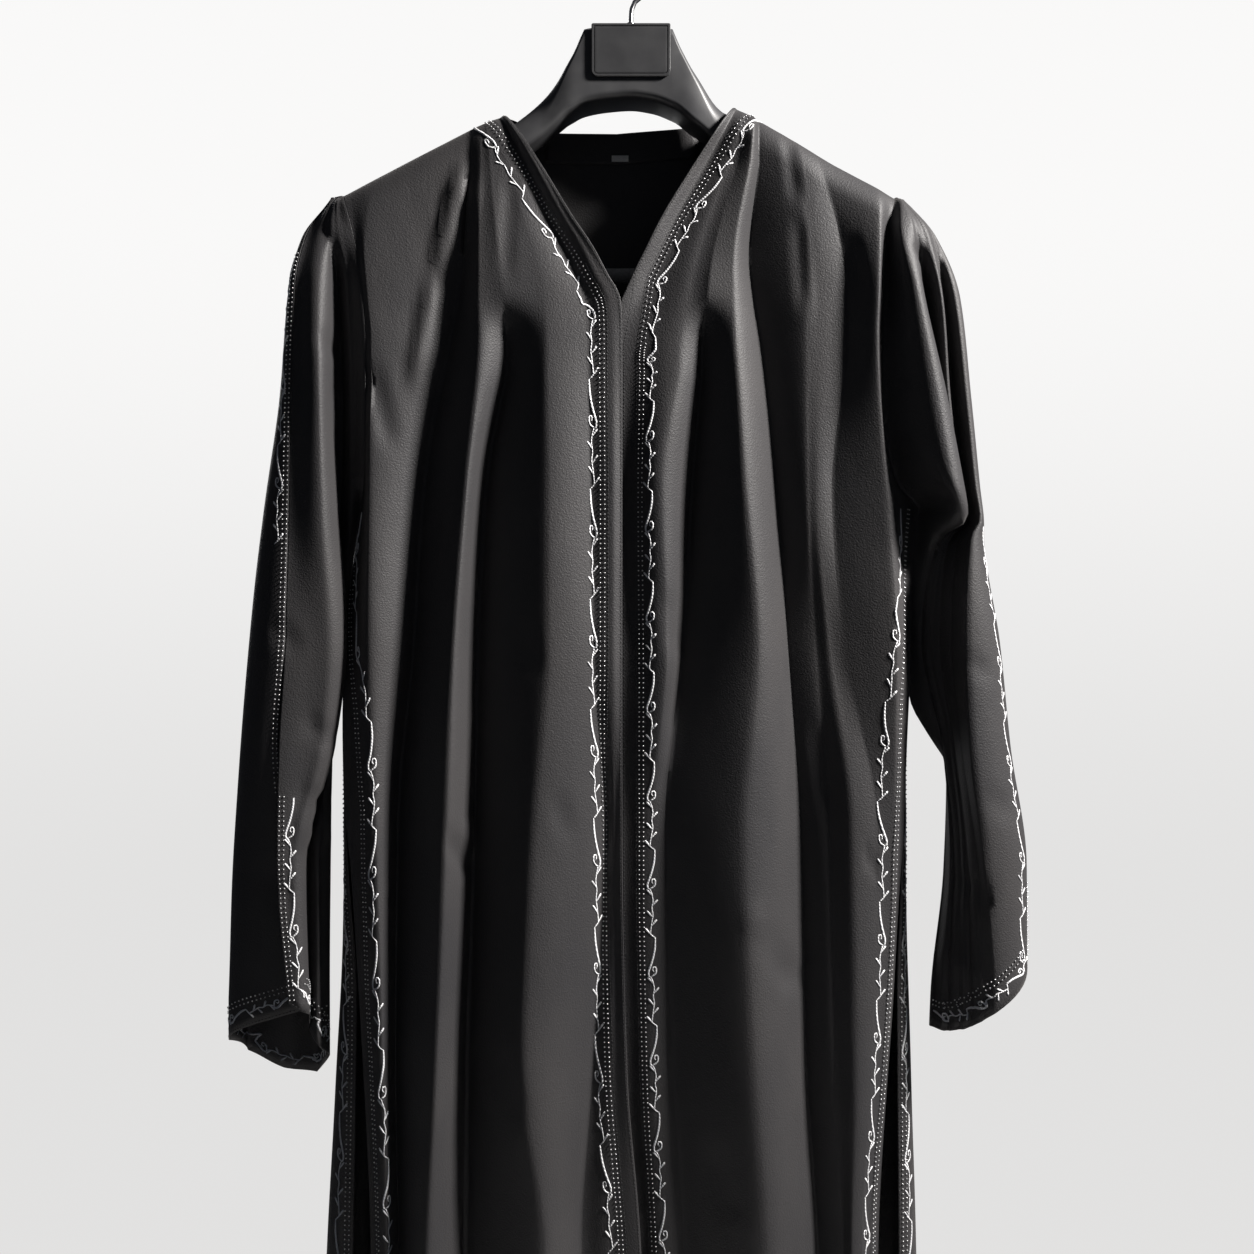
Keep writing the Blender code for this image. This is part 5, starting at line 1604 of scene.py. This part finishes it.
steel, shader, nodes, links = new_material("plated steel", (0.62, 0.62, 0.63), 0.24, 1.0)
streak = noise_node(nodes, links, 700, 2.0, (1, 1, 0.06))
roughness_between(shader, nodes, links, streak, 0.18, 0.34)
bend_radius = HOOK_INNER_RADIUS + HOOK_WIRE / 2
route = ([(0, 0, HOOK_FOOT)] + list(HOOK_STEM)
         + arc((0, -HOOK_INNER_RADIUS), bend_radius, HOOK_START_ANGLE, HOOK_END_ANGLE,
               HOOK_POINTS))
hook = rod("steel_hook", route, HOOK_WIRE / 2, steel)
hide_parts("hanger_hook")
turned = [(r * math.cos(a), r * math.sin(a), z) for r, z in FERRULE
          for a in np.linspace(0, 2 * math.pi, FERRULE_SIDES, endpoint=False)]
ferrule = mesh_piece("hook_ferrule", turned, tube_faces(len(FERRULE), FERRULE_SIDES), steel)
ferrule.data.shade_flat()
print("hook: wire", HOOK_WIRE, "mm, bent round", 2 * HOOK_INNER_RADIUS, "mm")

# %% [markdown]
# The trouser bar is covered with short grey flock, so that trousers don't slip. Its fibres are far
# too fine to model, so a high sheen and a fine soft bump stand for them.

# %% Trouser bar
BAR_RADIUS = 6.5
BAR_HEIGHT = -280
BAR_HALF_SPAN = 160
BAR_BEND = 16
BAR_SEAT = 3.25
BAR_BEND_POINTS = 14


flock, shader, nodes, links = new_material(
    "grey flock", (0.34, 0.33, 0.32), 0.95,
    shades=((0.28, 0.27, 0.26), (0.40, 0.39, 0.38)), clouds=(300, 4.0),
    grain=(2500, 2.0), bump=(0.0004, 0.7))
shader.inputs["Sheen Weight"].default_value = 0.6
shader.inputs["Sheen Roughness"].default_value = 0.6
ends = []
for turn, start, end in ((-1, 180, 270), (1, 0, -90)):
    x = turn * BAR_HALF_SPAN
    under = np.interp(x, [section[0] for section in sections],
                      [section[2] for section in sections])
    bend = arc((x - turn * BAR_BEND, BAR_HEIGHT + BAR_BEND), BAR_BEND, start, end,
               BAR_BEND_POINTS)
    ends.append([(x, 0.0, float(under) - BAR_SEAT)] + bend)
bar = rod("trouser_bar", ends[0] + ends[1][::-1], BAR_RADIUS, flock)
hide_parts("hanger_bar")
print("bar", 2 * BAR_HALF_SPAN, "mm long")

# %% [markdown]
# ## The studio
#
# The photograph has an off-white ground, one fairly hard lamp high on the right, and little else.
# So the key lamp is a small area light, and the world is dim where it lights the cloth. A wall
# behind the robe would hide its back, so the pale ground is the world itself as the camera sees it,
# with painted shade that makes it a little greyer towards the floor. A large weak lamp behind the
# robe shows the cut of its back and hardly touches its front. A pale floor lies under the hem, below
# the picture.

# %% Floor, light and ground
FLOOR_HEIGHT = -1735
FLOOR_HALF = 1200
KEY_AZIMUTH = 69
KEY_ELEVATION = 38
KEY_DISTANCE = 2.2
KEY_SIZE = 0.3
KEY_POWER = 140
KEY_COLOUR = (1.0, 0.97, 0.94)
AMBIENT = 0.045
AMBIENT_COLOUR = (0.80, 0.86, 1.0)
BACK_AZIMUTH = 205
BACK_ELEVATION = 20
BACK_DISTANCE = 2.6
BACK_SIZE = 1.6
BACK_POWER = 22
BACK_COLOUR = (1.0, 1.0, 1.0)
# Painted shade: the ground the camera sees goes from GROUND_HIGH at the top to the darker GROUND_LOW
# towards the floor.
GROUND_HIGH = (0.95, 0.945, 0.94)
GROUND_LOW = (0.76, 0.755, 0.75)
GROUND_FADE = (-0.20, 0.28)

floor_mesh = bpy.data.meshes.new("floor")
floor_mesh.from_pydata([(x * FLOOR_HALF * MM, y * FLOOR_HALF * MM, FLOOR_HEIGHT * MM)
                        for x, y in ((-1, -1), (1, -1), (1, 1), (-1, 1))], [], [(0, 1, 2, 3)])
floor = bpy.data.objects.new("floor", floor_mesh)
floor_mesh.materials.append(new_material("pale floor", (0.78, 0.77, 0.76), 0.85)[0])
scene.collection.objects.link(floor)
floor.visible_diffuse = False

middle = Vector((CAMERA_PLACE[0] * MM, FRONT_PLANE * MM, CAMERA_PLACE[2] * MM))


def area_lamp(name, azimuth, elevation, distance, size, power, colour):
    """A square lamp that faces the middle of the robe from this side."""
    side, rise = math.radians(azimuth), math.radians(elevation)
    towards = Vector((math.sin(side) * math.cos(rise), -math.cos(side) * math.cos(rise),
                      math.sin(rise)))
    lamp = bpy.data.lights.new(name, "AREA")
    lamp.size, lamp.energy, lamp.color = size, power, colour
    holder = bpy.data.objects.new(name, lamp)
    holder.location = middle + towards * distance
    holder.rotation_euler = towards.to_track_quat("Z", "Y").to_euler()
    scene.collection.objects.link(holder)


area_lamp("key lamp", KEY_AZIMUTH, KEY_ELEVATION, KEY_DISTANCE, KEY_SIZE, KEY_POWER, KEY_COLOUR)
area_lamp("back lamp", BACK_AZIMUTH, BACK_ELEVATION, BACK_DISTANCE, BACK_SIZE, BACK_POWER,
          BACK_COLOUR)

world = bpy.data.worlds.new("studio")
world.use_nodes = True
scene.world = world
nodes, links = world.node_tree.nodes, world.node_tree.links
dim = nodes["Background"]
dim.inputs["Color"].default_value = (*AMBIENT_COLOUR, 1)
dim.inputs["Strength"].default_value = AMBIENT
ground = nodes.new("ShaderNodeBackground")
place = nodes.new("ShaderNodeTexCoord")
parts = nodes.new("ShaderNodeSeparateXYZ")
links.new(place.outputs["Generated"], parts.inputs["Vector"])
fade = nodes.new("ShaderNodeMapRange")
fade.interpolation_type = "SMOOTHSTEP"
fade.inputs["From Min"].default_value, fade.inputs["From Max"].default_value = GROUND_FADE
links.new(parts.outputs["Z"], fade.inputs["Value"])
# Painted shade: this mix makes the camera's ground pale above and greyer towards the floor.
painted_ground_shade = nodes.new("ShaderNodeMix")
painted_ground_shade.data_type = "RGBA"
painted_ground_shade.inputs["A"].default_value = (*GROUND_LOW, 1)
painted_ground_shade.inputs["B"].default_value = (*GROUND_HIGH, 1)
links.new(fade.outputs["Result"], painted_ground_shade.inputs["Factor"])
links.new(painted_ground_shade.outputs["Result"], ground.inputs["Color"])
switch = nodes.new("ShaderNodeMixShader")
path = nodes.new("ShaderNodeLightPath")
links.new(path.outputs["Is Camera Ray"], switch.inputs["Fac"])
links.new(dim.outputs["Background"], switch.inputs[1])
links.new(ground.outputs["Background"], switch.inputs[2])
links.new(switch.outputs["Shader"], nodes["World Output"].inputs["Surface"])
scene.view_settings.view_transform = "Standard"
print("key lamp", KEY_DISTANCE, "m away")
